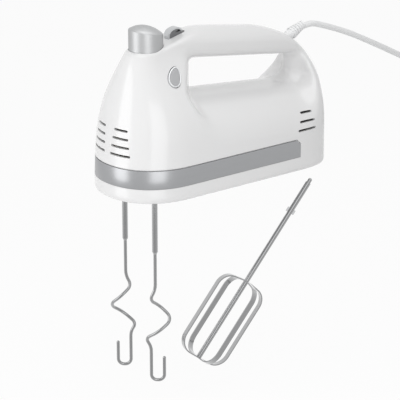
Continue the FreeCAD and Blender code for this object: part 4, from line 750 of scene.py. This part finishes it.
rings = turned(DOME, True) + turned(SKIRT, False) + turned(CEILING, True)
cap_points, cap_faces = loft(np.stack(rings))
eject_cap = make_object("eject_cap", cap_points, cap_faces, "ejector", cap_silver, smooth_angle=50)
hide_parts("eject_button")
print("eject cap", cap_points.min(0).round(1), cap_points.max(0).round(1))

# %% [markdown]
# ## Eject spring
# A wire coil under the button. It flattens as the button goes down, so it is a mesh of its own with
# a ring at each end, where the real wire is closed and ground flat.

# %% Coiled wire
SPRING_LOW, SPRING_HIGH, SPRING_TURNS = 80.0, 124.0, 9
SPRING_RADIUS, SPRING_WIRE = 7.0, 0.6
CLOSED = 1.9               # half turns of the ring at each end, just short of a whole turn
wound = np.pi * np.linspace(-CLOSED, 2 * SPRING_TURNS + CLOSED, 24 * (SPRING_TURNS + 2) + 1)
climb = np.clip(wound / (2 * np.pi * SPRING_TURNS), 0, 1)
climb = SPRING_LOW + SPRING_WIRE + climb * (SPRING_HIGH - SPRING_LOW - 2 * SPRING_WIRE)
wire = circle(SPRING_WIRE, 8)
reach = SPRING_RADIUS + wire[:, 0]
turns = np.stack([EJECT_X + np.cos(wound)[:, None] * reach, np.sin(wound)[:, None] * reach,
                  climb[:, None] + wire[:, 1]], -1)
eject_spring = make_object("spring_wire", *loft(turns), "housing", pin_steel, smooth_angle=60)
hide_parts("eject_spring")
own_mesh(eject_spring)
print("spring", len(turns), "sections")

# %% [markdown]
# ## Turbo button
# The egg is carried outwards in rings that shrink near the top. They give the silver ring its soft
# bevel and the grey face inside it a slight crown.

# %% Turbo drop
def drop_stack(levels, shares=()):
    """Rings of the drop at (height, growth) pairs, then rings that shrink to the middle of the last."""
    rings = [TURBO + flat[:, :1] * turbo_x + flat[:, 1:] * turbo_y + turbo_out * height
             for height, flat in ((height, drop_outline(grow)) for height, grow in levels)]
    last, top = rings[-1], rings[-1].mean(0) + turbo_out * 0.25
    rings += [top + (last - top) * share for share in shares]
    return loft(np.stack(rings))


RING = ((-5.6, 1.1), (-4.6, 1.1), (-4.6, 0), (0.4, 0), (0.95, -0.12), (1.25, -0.4), (1.3, -0.8),
        (1.1, -1.2), (0.5, -1.25))
FACE, FACE_SHARES = ((0.3, -1.35), (0.95, -1.35), (1.15, -1.5), (1.25, -2.1)), (0.7, 0.35)
turbo_ring = make_object("turbo_ring", *drop_stack(RING), "turbo", ring_silver, smooth_angle=60)
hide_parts("turbo_button")
turbo_face = make_object("turbo_face", *drop_stack(FACE, FACE_SHARES), "turbo", turbo_grey, smooth_angle=60)

# %% [markdown]
# ## Speed slider
# The slider is a thumb block with an arched outline. A bright rim runs over the arch, and the dark
# block sits inside it with a small notch in its rear edge.

# %% Slider block and rim
SLIDER_X, SLIDER_HALF, RIM_HALF = 66.9, 2.7, 2.85


def arch_line(grow, low, steps=40):
    """Half of a superellipse, from its front foot over the top to its rear foot, grown outwards."""
    a = np.linspace(np.pi, 0, steps)
    along = (7.6 + grow) * np.sign(np.cos(a)) * np.abs(np.cos(a)) ** 0.75
    upward = (8.6 + grow) * np.abs(np.sin(a)) ** 0.75 + low
    return np.stack([along - 0.06 * upward, upward], 1)


def in_slider(flat):
    """Points of the slider's own upright plane: along the deck, then out of it."""
    return on_deck(SLIDER_X) + flat[..., :1] * deck_along + flat[..., 1:] * deck_up


block_line = arch_line(-1.3, -2.0)
block_line = np.vstack([block_line[:-6], [[5.6, 4.0], [3.4, 2.7], [5.7, 1.2]], block_line[-1:]])
bevels = ((-SLIDER_HALF, 0.9), (-SLIDER_HALF + 0.25, 1.0), (SLIDER_HALF - 0.25, 1.0), (SLIDER_HALF, 0.9))
middle = block_line.mean(0)
block_rings = [in_slider(middle + (block_line - middle) * shrink) + ACROSS * across
               for across, shrink in bevels]
slider_block = make_object("slider_block", *loft(np.stack(block_rings)), "slider", slider_grey)
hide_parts("speed_slider")
outer, inner = arch_line(0, -2.0)[:-5], arch_line(-1.25, -2.0)[:-5]
strip = np.stack([outer, outer, inner, inner], 1)
strip_across = np.array([-RIM_HALF, RIM_HALF, RIM_HALF, -RIM_HALF])[None, :, None]
strip_rings = in_slider(strip) + strip_across * ACROSS
slider_arch = make_object("slider_arch", *loft(strip_rings), "slider", bright_chrome)
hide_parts("slider_rim")
print("slider", len(slider_block.data.polygons), len(slider_arch.data.polygons))

# %% [markdown]
# ## Mains lead
# The lead leaves the handle through a ribbed strain relief, droops to the right and hangs down. The
# spare length is wound in a small coil with a tie, and ends in a flat two-pin plug. Its centre line
# is one smooth spline through the route's own points; a coil's turns are more points of it.

# %% Lead route
LEAD = 5.0
TOWARDS = np.array([-math.sin(AZIMUTH), -math.cos(AZIMUTH), 0])
COIL_RADIUS, COIL_PITCH, COIL_TURNS, PER_TURN = 27.5, 5.3, 5, 16
rise = math.atan(COIL_PITCH / (2 * math.pi * COIL_RADIUS))
downward = -UP * math.cos(rise) + right * math.sin(rise)
coil_entry = np.array([345.0, 0, 5])
coil_centre = coil_entry - TOWARDS * COIL_RADIUS
route = [(182, 0, 99.6), (203, 0, 109.2), (224, 0, 102.6), (246, 0, 94.3), (270, 0, 83.2), (311, 0, 62.4)]
route = np.array(route, dtype=float)
drop_points = np.array([coil_entry - downward * 40, coil_entry - downward * 8])
turn = (np.arange(PER_TURN * COIL_TURNS) + 0.5) * 2 * np.pi / PER_TURN
wide = COIL_RADIUS / math.cos(math.pi / PER_TURN)      # the spline cuts inside its points
coil_points = (coil_centre + wide * (np.cos(turn)[:, None] * TOWARDS - np.sin(turn)[:, None] * UP)
               + right * (COIL_PITCH * turn / (2 * np.pi))[:, None])
coil_exit = coil_entry + right * COIL_PITCH * COIL_TURNS
tail_points = np.array([coil_exit + downward * 8, coil_exit + downward * 36, coil_exit + downward * 66])
lead_points = from_bench(np.vstack([route, drop_points, coil_points, tail_points]))
print("lead points", len(lead_points))

# %% Lead as one spline
curve = bpy.data.curves.new("mains_lead", "CURVE")
curve.dimensions = "3D"
spline = curve.splines.new("NURBS")
spline.points.add(len(lead_points) - 1)
spline.points.foreach_set("co", np.hstack([lead_points, np.ones((len(lead_points), 1))]).ravel())
spline.order_u = 3
spline.use_endpoint_u = True
spline.resolution_u = 8
curve.bevel_depth = LEAD / 2000
curve.bevel_resolution = 5
curve.use_fill_caps = True
curve.materials.append(lead_white)
mains_lead = bpy.data.objects.new("mains_lead", curve)
bpy.context.scene.collection.objects.link(mains_lead)
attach(mains_lead, "housing")
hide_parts("power_cord", "cord_coil", "cord_tail")

# %% [markdown]
# ## Light and floor
# The mixer floats over a white sweep, as in a catalogue. Two tall strip lamps draw the bright lines
# down the nose and the side, a wide lamp lights it from above, and a pale world fills in. The world
# and the floor are white only to the camera and in reflections.

# %% White surroundings
def seen_share(tree):
    """1 for a ray from the camera, a reflection or through glass, and 0 for one that only lights."""
    rays = tree.nodes.new("ShaderNodeLightPath")
    share = maths(tree, "ADD", rays.outputs["Is Camera Ray"], rays.outputs["Is Glossy Ray"])
    return maths(tree, "MINIMUM", maths(tree, "ADD", share, rays.outputs["Is Transmission Ray"]), 1.0)


world = bpy.data.worlds.new("studio")
bpy.context.scene.world = world
world.use_nodes = True
tree = world.node_tree
tree.nodes.clear()
output = tree.nodes.new("ShaderNodeOutputWorld")
plain, bright, mix = (tree.nodes.new(kind) for kind in
                      ("ShaderNodeBackground", "ShaderNodeBackground", "ShaderNodeMixShader"))
plain.inputs["Color"].default_value = bright.inputs["Color"].default_value = (1, 1, 1, 1)
plain.inputs["Strength"].default_value = 0.5
tree.links.new(seen_share(tree), mix.inputs["Fac"])
tree.links.new(plain.outputs[0], mix.inputs[1])
tree.links.new(bright.outputs[0], mix.inputs[2])
tree.links.new(mix.outputs[0], output.inputs["Surface"])


def soft_lamp(name, position, target, size, power):
    """An oblong area lamp at a bench point, aimed at another, that no camera sees."""
    lamp = bpy.data.lights.new(name, "AREA")
    lamp.shape, lamp.size, lamp.size_y, lamp.energy = "RECTANGLE", *size, power
    item = bpy.data.objects.new(name, lamp)
    bpy.context.scene.collection.objects.link(item)
    item.visible_camera = False
    item.location = from_bench(position)
    item.rotation_mode = "QUATERNION"
    item.rotation_quaternion = Vector(np.array(target, float) - position).to_track_quat("-Z", "Y")


soft_lamp("nose_strip", (-400, 100, 87), (47, 0, 60), (0.26, 0.5), 0.8)
soft_lamp("side_strip", (-135, -420, 87), (60, 0, 60), (0.26, 0.5), 0.66)
soft_lamp("top_lamp", (60, -120, 700), (110, 0, 40), (0.7, 0.7), 1.9)
bpy.context.scene.view_settings.view_transform = "Standard"

# %% Floor
FLOOR_HALF, FLOOR_Z = 3000, -172
floor_mesh = bpy.data.meshes.new("pale_floor")
corners = [[-FLOOR_HALF, -FLOOR_HALF, FLOOR_Z], [FLOOR_HALF, -FLOOR_HALF, FLOOR_Z],
           [FLOOR_HALF, FLOOR_HALF, FLOOR_Z], [-FLOOR_HALF, FLOOR_HALF, FLOOR_Z]]
floor_mesh.from_pydata(from_bench(corners).tolist(), [], [[0, 1, 2, 3]])
pale_floor = bpy.data.objects.new("pale_floor", floor_mesh)
bpy.context.scene.collection.objects.link(pale_floor)
floor_paint = bpy.data.materials.new("pale_floor")
floor_paint.use_nodes = True
tree = floor_paint.node_tree
shader = tree.nodes["Principled BSDF"]
shader.inputs["Base Color"].default_value = (0.82, 0.82, 0.82, 1)
shader.inputs["Roughness"].default_value = 0.9
glow = tree.nodes.new("ShaderNodeEmission")
mix = tree.nodes.new("ShaderNodeMixShader")
tree.links.new(maths(tree, "MULTIPLY", seen_share(tree), 0.93), mix.inputs["Fac"])
tree.links.new(shader.outputs[0], mix.inputs[1])
tree.links.new(glow.outputs[0], mix.inputs[2])
tree.links.new(mix.outputs[0], tree.nodes["Material Output"].inputs["Surface"])
floor_mesh.materials.append(floor_paint)
